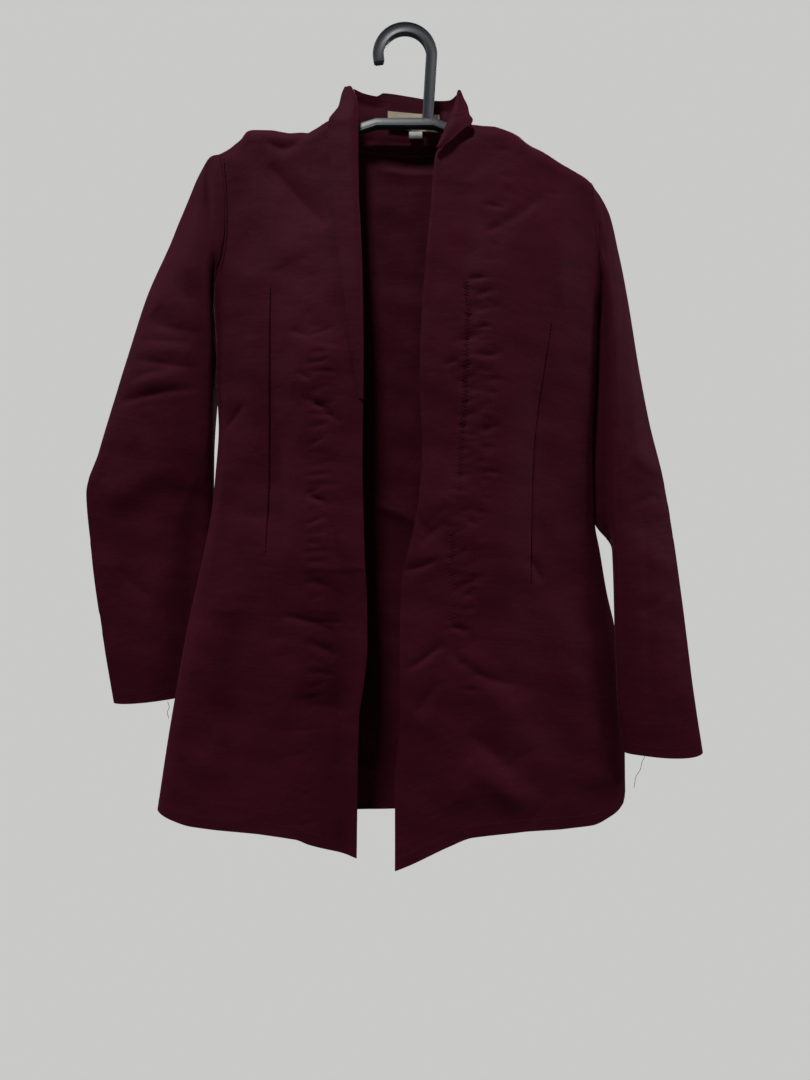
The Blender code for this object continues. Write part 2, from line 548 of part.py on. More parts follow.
def tube(path, half_width, half_depth, ends):
    """A bar of rounded section along a path in the X-Z plane, closed at both ends, as a bmesh."""
    path = np.array(path, float)
    way = np.gradient(path, axis=0)
    way /= np.linalg.norm(way, axis=1, keepdims=True)
    aside = np.stack([way[:, 1], -way[:, 0]], -1)
    angle = np.arange(BAR_SIDES) / BAR_SIDES * 2 * math.pi
    section = [
        tuple(math.copysign(abs(part) ** BAR_ROUNDNESS, part) for part in (math.cos(a), math.sin(a)))
        for a in angle
    ]
    mesh = bmesh.new()
    loops = []
    for place, out, size in zip(path, aside, ends):
        loops.append([
            mesh.verts.new((
                (place[0] + out[0] * half_width * size * c) * MM, half_depth * size * s * MM,
                (place[1] + out[1] * half_width * size * c) * MM,
            ))
            for c, s in section
        ])
    for first, second in zip(loops, loops[1:]):
        for k in range(BAR_SIDES):
            after = (k + 1) % BAR_SIDES
            mesh.faces.new((first[k], first[after], second[after], second[k]))
    mesh.faces.new(loops[0][::-1])
    mesh.faces.new(loops[-1])
    bmesh.ops.recalc_face_normals(mesh, faces=mesh.faces)
    return mesh


def hanger():
    """The hook with its stem, joined with the flat and the two arms into one moulding."""
    middle = HOOK_INNER + HOOK_BAND / 2
    centre_z = -HOOK_INNER
    tip = [(-middle + HOOK_TIP_LEAN * t, centre_z - HOOK_TIP_DROP * t) for t in (1.0, 0.8)]
    arc = [(middle * math.cos(a), centre_z + middle * math.sin(a)) for a in np.linspace(math.pi, 0, 19)]
    stem = [
        (middle - STEM_LEAN * t, centre_z + (FLAT_Z - centre_z) * t) for t in np.linspace(0, 1, 7)[1:]
    ]
    hook_path = tip + arc + stem
    sizes = [0.5, 0.85] + [1.0] * (len(arc) + len(stem))  # the tip is rounded
    hook = finish("hanger", tube(hook_path, HOOK_BAND / 2, HOOK_DEPTH / 2, sizes), BLACK, roughness=0.3)

    def arm(direction):
        slope = ARM_SLOPE + direction * ARM_TILT
        along = np.linspace(0, ARM_REACH - FLAT_HALF, 12)
        drop = along * math.tan(slope) + ARM_DROOP * (along / along[-1]) ** 2
        return list(zip(direction * (FLAT_HALF + along), FLAT_Z - drop))

    path = arm(-1)[::-1] + [(0.0, FLAT_Z)] + arm(1)
    sizes = [0.55, 0.9] + [1.0] * (len(path) - 4) + [0.9, 0.55]
    arms = finish("arms", tube(path, ARM_HEIGHT / 2, ARM_DEPTH / 2, sizes), BLACK, roughness=0.3)
    union = hook.modifiers.new("arms", "BOOLEAN")
    union.operation = "UNION"
    union.object = arms
    arms.hide_render = True
    arms.display_type = "WIRE"
    return hook


def main():
    for old in list(bpy.data.objects):
        bpy.data.objects.remove(old)

    right = front(
        EDGE_RIGHT, SIDE_RIGHT, SHOULDER_RIGHT, HEM_RIGHT, NECK_RIGHT, ROWS_RIGHT, DEPTH_RIGHT, "right",
        FOLDS_RIGHT,
    )
    left = front(
        EDGE_LEFT, SIDE_LEFT, SHOULDER_LEFT, HEM_LEFT, NECK_LEFT, ROWS_LEFT, DEPTH_LEFT, "left",
        FOLDS_LEFT,
    )
    rear = back(right, left)
    right_out, left_out = normals(right, False, FORWARDS), normals(left, False, FORWARDS)
    rear_out = normals(rear, False, BACKWARDS)
    cloth("front_right", right, right_out, MAROON)
    cloth("front_left", left, left_out, MAROON)
    cloth("back_panel", rear, rear_out, MAROON)

    for name, rings, folds, panel, panel_out, column, outwards in (
        ("sleeve_right", RINGS_RIGHT, FOLDS_SLEEVE_RIGHT, right, right_out, 0, -1),
        ("sleeve_left", RINGS_LEFT, FOLDS_SLEEVE_LEFT, left, left_out, -1, 1),
    ):
        down = slice(0, ARMHOLE_ROW + 1)
        edge = np.concatenate([panel[down, -1], rear[down, column][::-1][1:-1]])
        edge_out = np.concatenate([panel_out[down, -1], rear_out[down, column][::-1][1:-1]])
        points = sleeve(rings, edge, folds, outwards)
        middle = points.mean(axis=1, keepdims=True)
        out = normals(points, True, points - middle)
        out[0] = edge_out
        cloth(name, points, out, MAROON, closed=True)

    right_depth = panel_depth(EDGE_RIGHT, SIDE_RIGHT, DEPTH_RIGHT, FOLDS_RIGHT)
    left_depth = panel_depth(EDGE_LEFT, SIDE_LEFT, DEPTH_LEFT, FOLDS_LEFT)
    for name, rows, depth in (
        ("lapel_right", LAPEL_RIGHT, right_depth), ("lapel_left", LAPEL_LEFT, left_depth),
    ):
        points = lapel(rows, depth)
        cloth(name, points, normals(points, False, FORWARDS), MAROON)

    band = neck_band(rear)
    cloth("neck_band", band, normals(band, False, BACKWARDS), MAROON)
    small_piece("neck_label", LABEL_X, LABEL_Z, band_depth(band), BEIGE, LABEL_DROP)
    small_piece("size_tag", TAG_X, TAG_Z, band_depth(band), WHITE)
    hanger()


main()
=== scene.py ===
# %% [markdown]
# # A kebaya on a hanger
#
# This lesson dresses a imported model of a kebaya, a long open jacket of smooth dark red cloth that hangs flat
# from a plain black hanger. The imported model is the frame: it fixes every size and place. The cells below lay a
# finer, thinner cloth on each of its walls, with the creases, darts, seams and stitches of the real one.
#
# X runs to the wearer's left, the front faces -Y, Z is up, and the origin is the underside of the hook's top.
# The tables are in millimetres, because a maker measures cloth so. Meshes are in metres.

# %% Load the frame
import math
import random
from collections import namedtuple

import bmesh
import bpy
import numpy as np
from mathutils import Matrix, Vector
from mathutils.bvhtree import BVHTree


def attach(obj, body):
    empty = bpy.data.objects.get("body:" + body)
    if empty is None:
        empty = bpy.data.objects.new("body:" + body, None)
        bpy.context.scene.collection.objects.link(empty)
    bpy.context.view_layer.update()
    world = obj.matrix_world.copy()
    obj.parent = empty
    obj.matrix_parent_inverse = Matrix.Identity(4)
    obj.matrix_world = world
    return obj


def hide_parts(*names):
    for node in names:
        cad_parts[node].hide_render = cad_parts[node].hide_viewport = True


MM = 0.001
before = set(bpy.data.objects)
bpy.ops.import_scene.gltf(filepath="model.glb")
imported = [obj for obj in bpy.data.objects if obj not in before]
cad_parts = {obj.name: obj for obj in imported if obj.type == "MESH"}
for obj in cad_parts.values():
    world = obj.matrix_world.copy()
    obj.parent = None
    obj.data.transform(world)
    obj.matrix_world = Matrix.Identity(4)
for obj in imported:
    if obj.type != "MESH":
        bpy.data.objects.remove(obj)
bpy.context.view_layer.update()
print("nodes in the frame:", ", ".join(sorted(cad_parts)))

# %% [markdown]
# ## Camera
#
# The camera stands straight in front of the jacket, a little over arm's length away, as someone would who takes
# a picture of it with a telephone. A Blender camera looks down its own -Z, so a quarter turn about X makes it
# look along +Y.

# %% Camera
CAMERA_BACK = 0.791
CAMERA_HEIGHT = -0.4925
LENS = 27.03

camera_data = bpy.data.cameras.new("camera")
camera_data.sensor_width = 36
camera_data.lens = LENS
camera = bpy.data.objects.new("camera", camera_data)
camera.location = (0, -CAMERA_BACK, CAMERA_HEIGHT)
camera.rotation_euler = (math.pi / 2, 0, 0)
bpy.context.scene.collection.objects.link(camera)
bpy.context.scene.camera = camera
print("camera with a lens of", LENS, "mm")

# %% [markdown]
# ## Light and floor
#
# Dark cloth shows its form only through differences of light, so most of the light comes from one lamp high
# above, a little to the left, and little from the room. Two weak lamps at the sides catch the edges of the
# sleeves, and one behind lights the back for whoever walks round it. A dim world would also make a dark
# background, so the world has two levels: the pale one is what shows behind the jacket, and the dimmer one is
# what lights it. The floor is far below, as under something that hangs on a wall.

# %% Light and floor
Lamp = namedtuple("Lamp", "name place target size power")
LAMPS = (
    Lamp("key", (-0.62, -1.48, 2.4), (0, 0, -0.45), 0.5, 71.0),
    Lamp("right", (1.9, -0.35, 0.3), (0, 0, -0.45), 0.7, 16.0),
    Lamp("left", (-1.9, -0.35, 0.5), (0, 0, -0.45), 0.7, 10.0),
    Lamp("back", (0.5, 2.0, 1.2), (0, 0, -0.4), 1.2, 30.0),
)
WORLD_SHOWN = (0.585, 0.585, 0.575)
WORLD_LIGHT = (0.050, 0.050, 0.052)
FLOOR_Z = -2.0
FLOOR_RADIUS = 1.3

for lamp in LAMPS:
    light = bpy.data.lights.new(lamp.name, "AREA")
    light.size = lamp.size
    light.energy = lamp.power
    holder = bpy.data.objects.new(lamp.name, light)
    holder.location = lamp.place
    holder.rotation_euler = (Vector(lamp.target) - Vector(lamp.place)).to_track_quat("-Z", "Y").to_euler()
    bpy.context.scene.collection.objects.link(holder)

world = bpy.data.worlds.new("pale room")
world.use_nodes = True
tree = world.node_tree
shown = tree.nodes["Background"]
shown.inputs["Color"].default_value = (*WORLD_SHOWN, 1)
lighting = tree.nodes.new("ShaderNodeBackground")
lighting.inputs["Color"].default_value = (*WORLD_LIGHT, 1)
seen_first = tree.nodes.new("ShaderNodeLightPath").outputs["Is Camera Ray"]
choice = tree.nodes.new("ShaderNodeMixShader")
tree.links.new(seen_first, choice.inputs[0])
tree.links.new(lighting.outputs[0], choice.inputs[1])
tree.links.new(shown.outputs[0], choice.inputs[2])
tree.links.new(choice.outputs[0], tree.nodes["World Output"].inputs["Surface"])
bpy.context.scene.world = world
bpy.context.scene.view_settings.view_transform = "Standard"
print(len(LAMPS), "lamps and a pale world")

# %% [markdown]
# ## Words for materials
#
# A material is a graph of nodes, but its maths reads better as Python. `Link` wraps one socket and turns `+`,
# `*` and the rest into Math nodes, also when a plain number stands first. `Finish` is a material with one method
# that adds any other node. Numbers that are the same all over a surface go straight to the shader's sockets.

# %% Words for materials
class Link:
    """The value that comes out of a socket, used like a number."""

    def __init__(self, finish, socket):
        self.finish, self.socket = finish, socket

    def maths(self, operation, *values):
        return self.finish.node("ShaderNodeMath", {"operation": operation}, dict(enumerate(values)))

    def __add__(self, other):
        return self.maths("ADD", self, other)

    def __radd__(self, other):
        return self.maths("ADD", other, self)

    def __sub__(self, other):
        return self.maths("SUBTRACT", self, other)

    def __rsub__(self, other):
        return self.maths("SUBTRACT", other, self)

    def __mul__(self, other):
        return self.maths("MULTIPLY", self, other)

    def __rmul__(self, other):
        return self.maths("MULTIPLY", other, self)

    def sine(self):
        return self.maths("SINE", self)


class Finish:
    """A material whose nodes are added by one method."""

    def __init__(self, name, colour, roughness, **fixed):
        self.material = bpy.data.materials.new(name)
        self.material.use_nodes = True
        self.tree = self.material.node_tree
        self.shader = self.tree.nodes["Principled BSDF"]
        self.set(**{"Base Color": (*colour, 1), "Roughness": roughness, "Metallic": 0.0}, **fixed)

    def set(self, **sockets):
        for name, value in sockets.items():
            self.join(self.shader.inputs[name.replace("_", " ")], value)

    def join(self, socket, value):
        if isinstance(value, Link):
            self.tree.links.new(value.socket, socket)
        else:
            socket.default_value = value

    def node(self, kind, settings=None, inputs=None, out=0):
        made = self.tree.nodes.new(kind)
        for name, value in (settings or {}).items():
            setattr(made, name, value)
        for key, value in (inputs or {}).items():
            sockets = [s for s in made.inputs if key in (s.identifier, s.name)]
            self.join(made.inputs[key] if isinstance(key, int) else sockets[0], value)
        found = [s for s in made.outputs if out in (s.identifier, s.name)]
        return Link(self, made.outputs[out] if isinstance(out, int) else found[0])

    def mix(self, part, first, second):
        return self.node(
            "ShaderNodeMix", {"data_type": "RGBA"},
            {"Factor_Float": part, "A_Color": (*first, 1), "B_Color": (*second, 1)}, "Result_Color",
        )

    def noise(self, place, scale, detail=2.0):
        return self.node(
            "ShaderNodeTexNoise", {"noise_dimensions": "3D"}, {"Vector": place, "Scale": scale, "Detail": detail}
        )

    def stretched(self, place, scale):
        return self.node("ShaderNodeMapping", {"vector_type": "POINT"}, {"Vector": place, "Scale": scale})

    def bump(self, height, strength, distance):
        return self.node("ShaderNodeBump", None, {"Strength": strength, "Distance": distance, "Height": height})


print("ready to mix materials")

# %% [markdown]
# ## The cloth
#
# The real cloth is a smooth, close plain weave in dark wine red, with a soft sheen. Each thread is about half a
# millimetre wide. The weave follows the cloth and not the room, so it reads the cloth's own map, in metres along
# and across the piece. Two sines make the threads go over and under each other, and a stretched noise makes some
# threads thicker, as in any woven cloth. Colour, gloss and height all take part, or it would look like plastic.

# %% The cloth
THREAD = 0.00056
SLUBS = 1600, 40  # how often thick places follow each other across and along a thread, in one metre
BARS = (16, 420, 1)  # the same for the faint bars of colour along the weft
CLOUDS, DENTS = 7.0, 48.0  # the same for uneven dye and for small dents
CRUMPLE = 9.0  # how high the small dents of worn cloth are, beside the threads
THREAD_RELIEF = 0.00025
WINE_DEEP = (0.040, 0.0042, 0.0108)
WINE_LIGHT = (0.066, 0.0082, 0.0190)


def woven(name, deep, light, roughness, **fixed):
    """Cloth of a plain weave, which reads the map that each cloth piece carries."""
    made = Finish(name, deep, roughness, **fixed)
    place = made.node("ShaderNodeUVMap", {"uv_map": "weave"})
    parts = {"Vector": place}
    along = made.node("ShaderNodeSeparateXYZ", None, parts, "X")
    across = made.node("ShaderNodeSeparateXYZ", None, parts, "Y")
    turns = math.pi / THREAD
    threads = (along * turns).sine() * (across * turns).sine()
    warp = made.noise(made.stretched(place, (*SLUBS, 1)), 1.0)
    weft = made.noise(made.stretched(place, (*SLUBS[::-1], 1)), 1.0)
    slubs = warp * 0.5 + weft * 0.5
    bars = made.noise(made.stretched(place, BARS), 1.0)
    room = made.node("ShaderNodeTexCoord", None, None, "Object")
    clouds = made.noise(room, CLOUDS, 3.0)
    crumple = made.noise(made.stretched(room, (1, 1, 1.5)), DENTS, 5.0)
    tone = slubs * 0.9 + bars * 0.6 + clouds * 0.9 + threads * 0.08 - 0.75
    made.set(
        Base_Color=made.mix(tone, deep, light), Roughness=slubs * 0.25 + (roughness - 0.12),
        Normal=made.bump(threads * 0.4 + slubs + crumple * CRUMPLE, 0.5, THREAD_RELIEF),
    )
    return made.material


cloth_finish = woven(
    "wine cloth", WINE_DEEP, WINE_LIGHT, 0.55, Sheen_Weight=0.06, Sheen_Roughness=0.35,
    Sheen_Tint=(0.95, 0.3, 0.45, 1.0), Specular_IOR_Level=0.03,
)
thread_finish = Finish("wine thread", (0.068, 0.0105, 0.0215), 0.7, Specular_IOR_Level=0.02)
# painted shadow: a nearly black material for the strips laid along seams where their shadow falls
seam_shadow_finish = Finish("seam shadow", (0.006, 0.0012, 0.0022), 0.9, Specular_IOR_Level=0.0)
print("cloth of", THREAD / MM, "mm threads")

# %% [markdown]
# ## Lines from tables
#
# A garment is measured at a few heights, and its edges run smoothly in between. A plain spline would swing past
# the measured places, so the curve through each table is a Hermite one whose slopes never overshoot.

# %% Lines from tables
def smooth(at, values):
    """A line through measured values that never overshoots them. The values may be whole rings of points."""
    gap = np.diff(at).reshape((-1,) + (1,) * (values.ndim - 1))
    rise = np.diff(values, axis=0) / gap
    product = rise[:-1] * rise[1:]
    total = rise[:-1] + rise[1:]
    inner = np.where(product > 0, 2 * product / np.where(total == 0, 1, total), 0)
    slope = np.concatenate([rise[:1], inner, rise[-1:]])

    def read(x):
        x = np.clip(np.asarray(x, float), at[0], at[-1])
        i = np.clip(np.searchsorted(at, x, side="right") - 1, 0, len(at) - 2)
        h = (at[i + 1] - at[i]).reshape(np.shape(x) + (1,) * (values.ndim - 1))
        t = (x - at[i]).reshape(h.shape) / h
        return (
            (2 * t**3 - 3 * t**2 + 1) * values[i] + (t**3 - 2 * t**2 + t) * h * slope[i]
            + (3 * t**2 - 2 * t**3) * values[i + 1] + (t**3 - t**2) * h * slope[i + 1]
        )

    return read


def curve(rows, along, value):
    pairs = sorted((getattr(row, along), getattr(row, value)) for row in rows)
    return smooth(np.array([p[0] for p in pairs], float), np.array([p[1] for p in pairs], float))


print("curves are ready")

# %% [markdown]
# ## The cut of the body
#
# These are the jacket's own measures: the front edges, the sides with the armholes, the shoulder seams, the
# neckline and the hems, and how far each panel stands in front of the hanger. They are the sizes from which the
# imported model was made, so the fine cloth lies on its walls. Only the left shoulder and the left end of the
# neckline are drawn finer than in that model, and differ from it by a few millimetres.

# %% The cut of the body
Down = namedtuple("Down", "z x")
EDGE_RIGHT = (
    Down(-84, -46), Down(-122, -45), Down(-187, -43), Down(-233, -41), Down(-322, -39.5), Down(-417, -40),
    Down(-500, -38), Down(-549, -35.5), Down(-592, -35), Down(-625, -38), Down(-662, -43), Down(-786, -44.5),
)
EDGE_LEFT = (
    Down(-90, 43), Down(-110, 35.5), Down(-124, 29), Down(-181, 24), Down(-234, 19), Down(-278, 16),
    Down(-342, 14), Down(-405, 16), Down(-446, 14), Down(-479, 8.5), Down(-508, 2), Down(-532, -3),
    Down(-581, -4.6), Down(-660, -4.6), Down(-713, -9), Down(-791, -9),
)
SIDE_RIGHT = (
    Down(-117, -178.5), Down(-157, -174), Down(-190, -173), Down(-219, -176), Down(-245, -183),
    Down(-271, -184.5), Down(-297, -183), Down(-344, -182), Down(-385, -180), Down(-430, -183),
    Down(-461, -186), Down(-506, -194), Down(-574, -208.5), Down(-645, -221), Down(-687, -228),
    Down(-751, -237.5),
)
SIDE_LEFT = (
    Down(-145.5, 180.4), Down(-180, 181.5), Down(-201, 184), Down(-224, 187), Down(-251, 188.5),
    Down(-287, 187.7), Down(-356, 184.8), Down(-404, 182.8), Down(-475, 185), Down(-503, 190),
    Down(-543, 197), Down(-584, 206), Down(-640, 211), Down(-694, 215), Down(-737, 215.5),
)
Across = namedtuple("Across", "x z")
SHOULDER_RIGHT = (
    Across(-178.5, -117), Across(-170.6, -112.5), Across(-165, -108), Across(-159, -103), Across(-152.5, -95.2),
    Across(-147, -94), Across(-132, -94.2), Across(-118, -96.4), Across(-112, -97.3), Across(-100.5, -96.7),
    Across(-94.5, -97.2), Across(-89, -94.4), Across(-83, -91), Across(-78, -87.8), Across(-62, -84.5),
    Across(-46, -84),
)
SHOULDER_LEFT = (
    Across(43, -90), Across(54, -89), Across(65, -89), Across(75, -90.2), Across(86, -91), Across(98, -94.6),
    Across(104, -97), Across(110, -100.2), Across(115.7, -105.4), Across(121.5, -109.5), Across(133, -115.2),
    Across(150.7, -126.4), Across(162.3, -133), Across(174, -140), Across(180.4, -145.5),
)
NECKLINE = (
    Across(-78, -87.8), Across(-70, -90), Across(-60, -98), Across(-46, -106), Across(-20, -109.5),
    Across(7, -110), Across(28, -109), Across(45, -102), Across(55, -94), Across(61, -90), Across(65, -89),
)
HEM_RIGHT = (
    Across(-237.5, -751), Across(-200, -761), Across(-157, -763.5), Across(-101, -766), Across(-88, -771.5),
    Across(-44.5, -786),
)
HEM_LEFT = (
    Across(-9, -791), Across(4.5, -786), Across(39, -771), Across(63, -763), Across(110, -761),
    Across(150, -763.5), Across(177, -764), Across(200, -757), Across(213, -748), Across(215.5, -737),
)
HEM_BACK = (Across(-237.5, -751), Across(-120, -757), Across(0, -758), Across(120, -752), Across(215.5, -737))
NECK_RIGHT, NECK_LEFT = -78.0, 65.0
UNDERARM = -271.0

Depth = namedtuple("Depth", "z inner middle side")
DEPTH_RIGHT = (
    Depth(-84, -10, -8, -7), Depth(-120, -12, -9, -8), Depth(-190, -17, -14, -9), Depth(-270, -23, -24, -12),
    Depth(-340, -26, -27, -12), Depth(-420, -29, -25, -13), Depth(-500, -34, -28, -15),
    Depth(-600, -40, -33, -18), Depth(-700, -48, -38, -21), Depth(-791, -52, -42, -24),
)
DEPTH_LEFT = (
    Depth(-84, -11, -8, -7), Depth(-120, -13, -10, -8), Depth(-190, -19, -15, -9), Depth(-270, -25, -25, -11),
    Depth(-340, -29, -28, -10), Depth(-420, -33, -27, -8), Depth(-500, -39, -31, -6),
    Depth(-600, -46, -36, -3), Depth(-700, -53, -42, -2), Depth(-791, -60, -46, -2),
)
DEPTH_BACK = (
    Depth(-84, 9, 12, 9), Depth(-150, 10, 13, 10), Depth(-270, 9, 13, 9), Depth(-400, 3, 12, 8),
    Depth(-500, -1, 11, 10), Depth(-600, -2, 9, 12), Depth(-760, -3, 8, 13),
)
Seams = namedtuple("Seams", "z right left")
SEAM_DEPTH = (
    Seams(-84, 0, 0), Seams(-200, 0, 1), Seams(-271, 1, 2), Seams(-344, -2, 2), Seams(-420, -4, 2),
    Seams(-475, -5, 3), Seams(-543, -7, 5), Seams(-600, -8, 6), Seams(-791, -8, 6),
)
SEAM = 0.3  # gap between two sewn pieces
TURN = 12.0  # how far from a seam a panel starts to turn back towards it
print("the body is", SIDE_LEFT[5].x - SIDE_RIGHT[6].x, "mm wide under the arms")

# %% [markdown]
# ## Folds and creases
#
# Cloth that hangs has wide soft folds from its own weight, and small creases where it was pressed or sewn. A
# simulation would make folds, but not these ones, so each is listed as a soft trough or ridge: where it
# starts and ends, how wide and high it is, and how far it bends. A trough has a height below 0. A real crease
# pushes a little cloth up along one side, so each one carries a lower, wider lip.

# %% Folds and creases
Crease = namedtuple("Crease", "x0 z0 x1 z1 width height bend", defaults=(0,))
LIP = 0.14
CRISP = 0.35  # how sharp a crease is at its bottom: the less, the sharper


def lift_at(creases, x, z, lip=LIP, crisp=CRISP):
    """How high the creases stand at each place; each dies away at its ends."""
    height = np.zeros(np.broadcast(x, z).shape)
    for c in creases:
        run = np.array([c.x1 - c.x0, c.z1 - c.z0], float)
        length = np.hypot(*run)
        along = np.clip(((x - c.x0) * run[0] + (z - c.z0) * run[1]) / length**2, 0, 1)
        aside = ((x - c.x0) * run[1] - (z - c.z0) * run[0]) / length - c.bend * 4 * along * (1 - along)
        ends = np.maximum(np.sin(np.pi * along), 0) ** 0.6
        shape = np.exp(crisp - np.hypot(aside / c.width, crisp)) if crisp else np.exp(-((aside / c.width) ** 2))
        height += c.height * ends * (shape - lip * np.exp(-((aside / c.width - 2) ** 2) / 2))
    return height


FOLDS_RIGHT = (
    Crease(-128, -245, -122, -500, 16, -2.5), Crease(-96, -300, -88, -640, 18, 3.5),
    Crease(-150, -470, -215, -700, 22, 3), Crease(-165, -120, -110, -230, 22, 3),
    Crease(-70, -560, -75, -760, 16, -3), Crease(-170, -560, -150, -750, 24, -3),
)
FOLDS_LEFT = (
    Crease(60, -150, 52, -420, 16, -2.5), Crease(130, -290, 120, -520, 16, -2.5),
    Crease(90, -330, 88, -700, 20, 3.5), Crease(60, -590, 110, -690, 16, 4), Crease(60, -690, 120, -745, 16, 4),
    Crease(80, -130, 160, -230, 24, 3), Crease(20, -480, 60, -440, 14, 3), Crease(150, -540, 175, -730, 22, 4),
)
FOLDS_BACK = (
    Crease(-60, -140, -100, -420, 26, 3), Crease(70, -140, 105, -420, 26, 3), Crease(-20, -430, -60, -740, 26, 3),
    Crease(80, -440, 130, -730, 28, 3), Crease(10, -120, 10, -700, 14, -2.5),
    Crease(-130, -480, -180, -730, 20, -3),
)
CREASES_RIGHT = (
    Crease(-138, -103, -98, -105, 5, -2.8, 10), Crease(-131, -130, -76, -194, 6.5, -3.6),
    Crease(-174, -389, -151, -361, 3.6, -1.7), Crease(-84, -363, -59, -382, 2.5, -1.7, 2),
    Crease(-102, -335, -87, -343, 2.2, -1.4), Crease(-94, -359, -70, -371, 2.2, -1.8),
    Crease(-108, -294, -93, -301, 2.2, -1.2), Crease(-93, -447, -74, -460, 2.2, -1.7),
    Crease(-118, -563, -64, -580, 3.2, -2.2, -3), Crease(-92, -585, -64, -602, 3.2, -2.2),
    Crease(-160, -560, -168, -740, 18, -2.4), Crease(-75, -620, -66, -700, 6.5, 2.0),
    Crease(-150, -300, -140, -420, 13, 1.8), Crease(-181, -430, -160, -540, 12, -2.1),
    Crease(-120, -380, -112, -500, 5.0, -1.4), Crease(-160, -660, -210, -735, 16, 2.0),
    Crease(-72, -470, -56, -530, 4.3, -1.7), Crease(-133, -470, -118, -600, 15, 4.0),
    Crease(-118, -585, -102, -690, 15, 4.0), Crease(-102, -670, -99, -805, 17, 5.0),
    Crease(-60, -520, -54, -860, 26, -13.0), Crease(-106, -640, -52, -655, 12, -4.0),
)
CREASES_LEFT = (
    Crease(32, -117, 68, -99, 3.2, -2.6, -2), Crease(75, -171, 95, -175, 2.2, -1.7),
    Crease(92, -191, 133, -161, 3.6, -2.2, 2), Crease(77, -199, 92, -191, 2.5, -2.2),
    Crease(43, -307, 81, -296, 2.2, -2.2), Crease(65, -318, 93, -315, 2.2, -2.1, 2),
    Crease(36, -329, 50, -322, 2.2, -2.0), Crease(63, -244.5, 79, -244, 1.9, -2.0),
    Crease(65, -263, 79, -257.5, 1.9, -2.0), Crease(63, -276.5, 80, -273, 1.9, -1.8),
    Crease(63, -294, 80, -290, 1.9, -1.8), Crease(57, -473, 69, -480, 2.2, -1.8),
    Crease(38, -474, 13, -497, 5.0, -2.4), Crease(68, -391, 89, -384, 2.5, -1.5),
    Crease(51, -546, 66, -539, 2.5, -2.1), Crease(43, -568, 60, -579, 2.5, -2.2, 2),
    Crease(-1, -521, 32, -510, 2.9, -2.3, 1.5), Crease(13, -485, 41, -460, 5.8, -2.1),
    Crease(2, -611.5, 36, -587, 2.9, -2.8, 1), Crease(36, -587, 105, -627, 5.0, -2.8, 9),
    Crease(10, -652, 32, -620, 5.8, -2.4), Crease(57, -669, 101, -706, 7.2, -2.4),
    Crease(34, -738, 67, -702, 9, 2.0, 3), Crease(67, -702, 110, -731, 9, 2.0, 3),
    Crease(117, -508, 129, -532, 4.3, -2.4), Crease(149, -160, 147, -272, 14, 3.3),
    Crease(20, -140, 14, -400, 12, 2.4), Crease(165, -330, 158, -500, 14, 1.5),
    Crease(100, -640, 140, -730, 16, 2.1),
)
CREASES_BACK = (
    Crease(-150, -120, -60, -175, 7.2, -3.3, 5), Crease(140, -150, 60, -190, 7.2, -3.0, -5),
    Crease(-30, -125, 42, -128, 5.0, -2.4, 4), Crease(-172, -300, -120, -330, 5.0, -3.0, 3),
    Crease(172, -290, 128, -326, 5.0, -2.7, -3), Crease(-165, -360, -95, -378, 4.3, -2.7, -4),
    Crease(40, -395, 118, -420, 5.8, -2.7, 5), Crease(-60, -455, 20, -480, 6.5, -2.7, -6),
    Crease(-185, -540, -90, -610, 7.2, -3.3, 6), Crease(60, -560, 170, -600, 6.5, -2.7, -5),
    Crease(-110, -690, -20, -720, 6.5, -2.2, 4), Crease(90, -660, 180, -712, 11, -2.7, 5),
    Crease(30, -230, 36, -420, 15, 2.4), Crease(-100, -240, -80, -330, 12, 2.0),
)
print(len(CREASES_RIGHT) + len(CREASES_LEFT) + len(CREASES_BACK), "creases on the body")

# %% [markdown]
# ## Stitch lines and their puckers
#
# Each front has a stitched line down it, where the facing is sewn on behind, and the wearer's left front has a
# second one in zigzag. A seam pulls the cloth in, so short puckers cross it all the way. They are too many to
# place by hand and none may be like the next, so a seeded loop lays them along the line, with uneven spacing,
# length, slant and depth.

# %% Stitch lines and their puckers
FACING_RIGHT = (
    Down(-107, -92.4), Down(-167, -93), Down(-246, -90.8), Down(-309, -89.2), Down(-408, -89), Down(-511, -89.4),
    Down(-608, -89), Down(-695, -88.5), Down(-762, -87.9),
)
FACING_LEFT = (
    Down(-110, 97.2), Down(-148, 97.6), Down(-189, 90.6), Down(-247, 82.2), Down(-295, 79.9), Down(-342, 79.6),
    Down(-390, 76.7), Down(-446, 73.8), Down(-474, 70.8), Down(-518, 65.9), Down(-566, 60.1), Down(-612, 57.8),
    Down(-671, 56.7),
)
ZIGZAG_LEFT = (
    Down(-243, 56.8), Down(-275, 59.4), Down(-314, 57.4), Down(-354, 56.3), Down(-399, 52.4), Down(-446, 50.2),
    Down(-474, 44.6), Down(-511, 43.6), Down(-568, 43.3), Down(-585, 41.4),
)
Dart = namedtuple("Dart", "top middle bottom step")
DART_RIGHT = Dart(Down(-253, -128.1), Down(-417, -129), Down(-506, -130.8), 1.1)
DART_LEFT = Dart(Down(-287, 139.3), Down(-417, 122.3), Down(-536, 118.3), -0.9)
dice = random.Random(7)


def puckers(line, top, bottom, apart, deep, before=(0.2, 0.8), longest=20):
    """Small troughs across a stitch line, between two heights; before says how much of one lies left of it."""
    x_at = curve(line, "z", "x")
    made = []
    z = top
    while z > bottom:
        x = float(x_at(z))
        length = dice.uniform(0.35, 1) * longest
        start = x - dice.uniform(*before) * length
        rise = dice.uniform(-0.3, 0.5) * length
        made.append(Crease(
            start, z - rise * 0.5, start + length, z + rise * 0.5, dice.uniform(1.2, 2.6),
            -dice.uniform(0.25, 1.0) * deep, dice.uniform(-1, 1),
        ))
        z -= dice.uniform(0.5, 1.6) * apart
    return tuple(made)


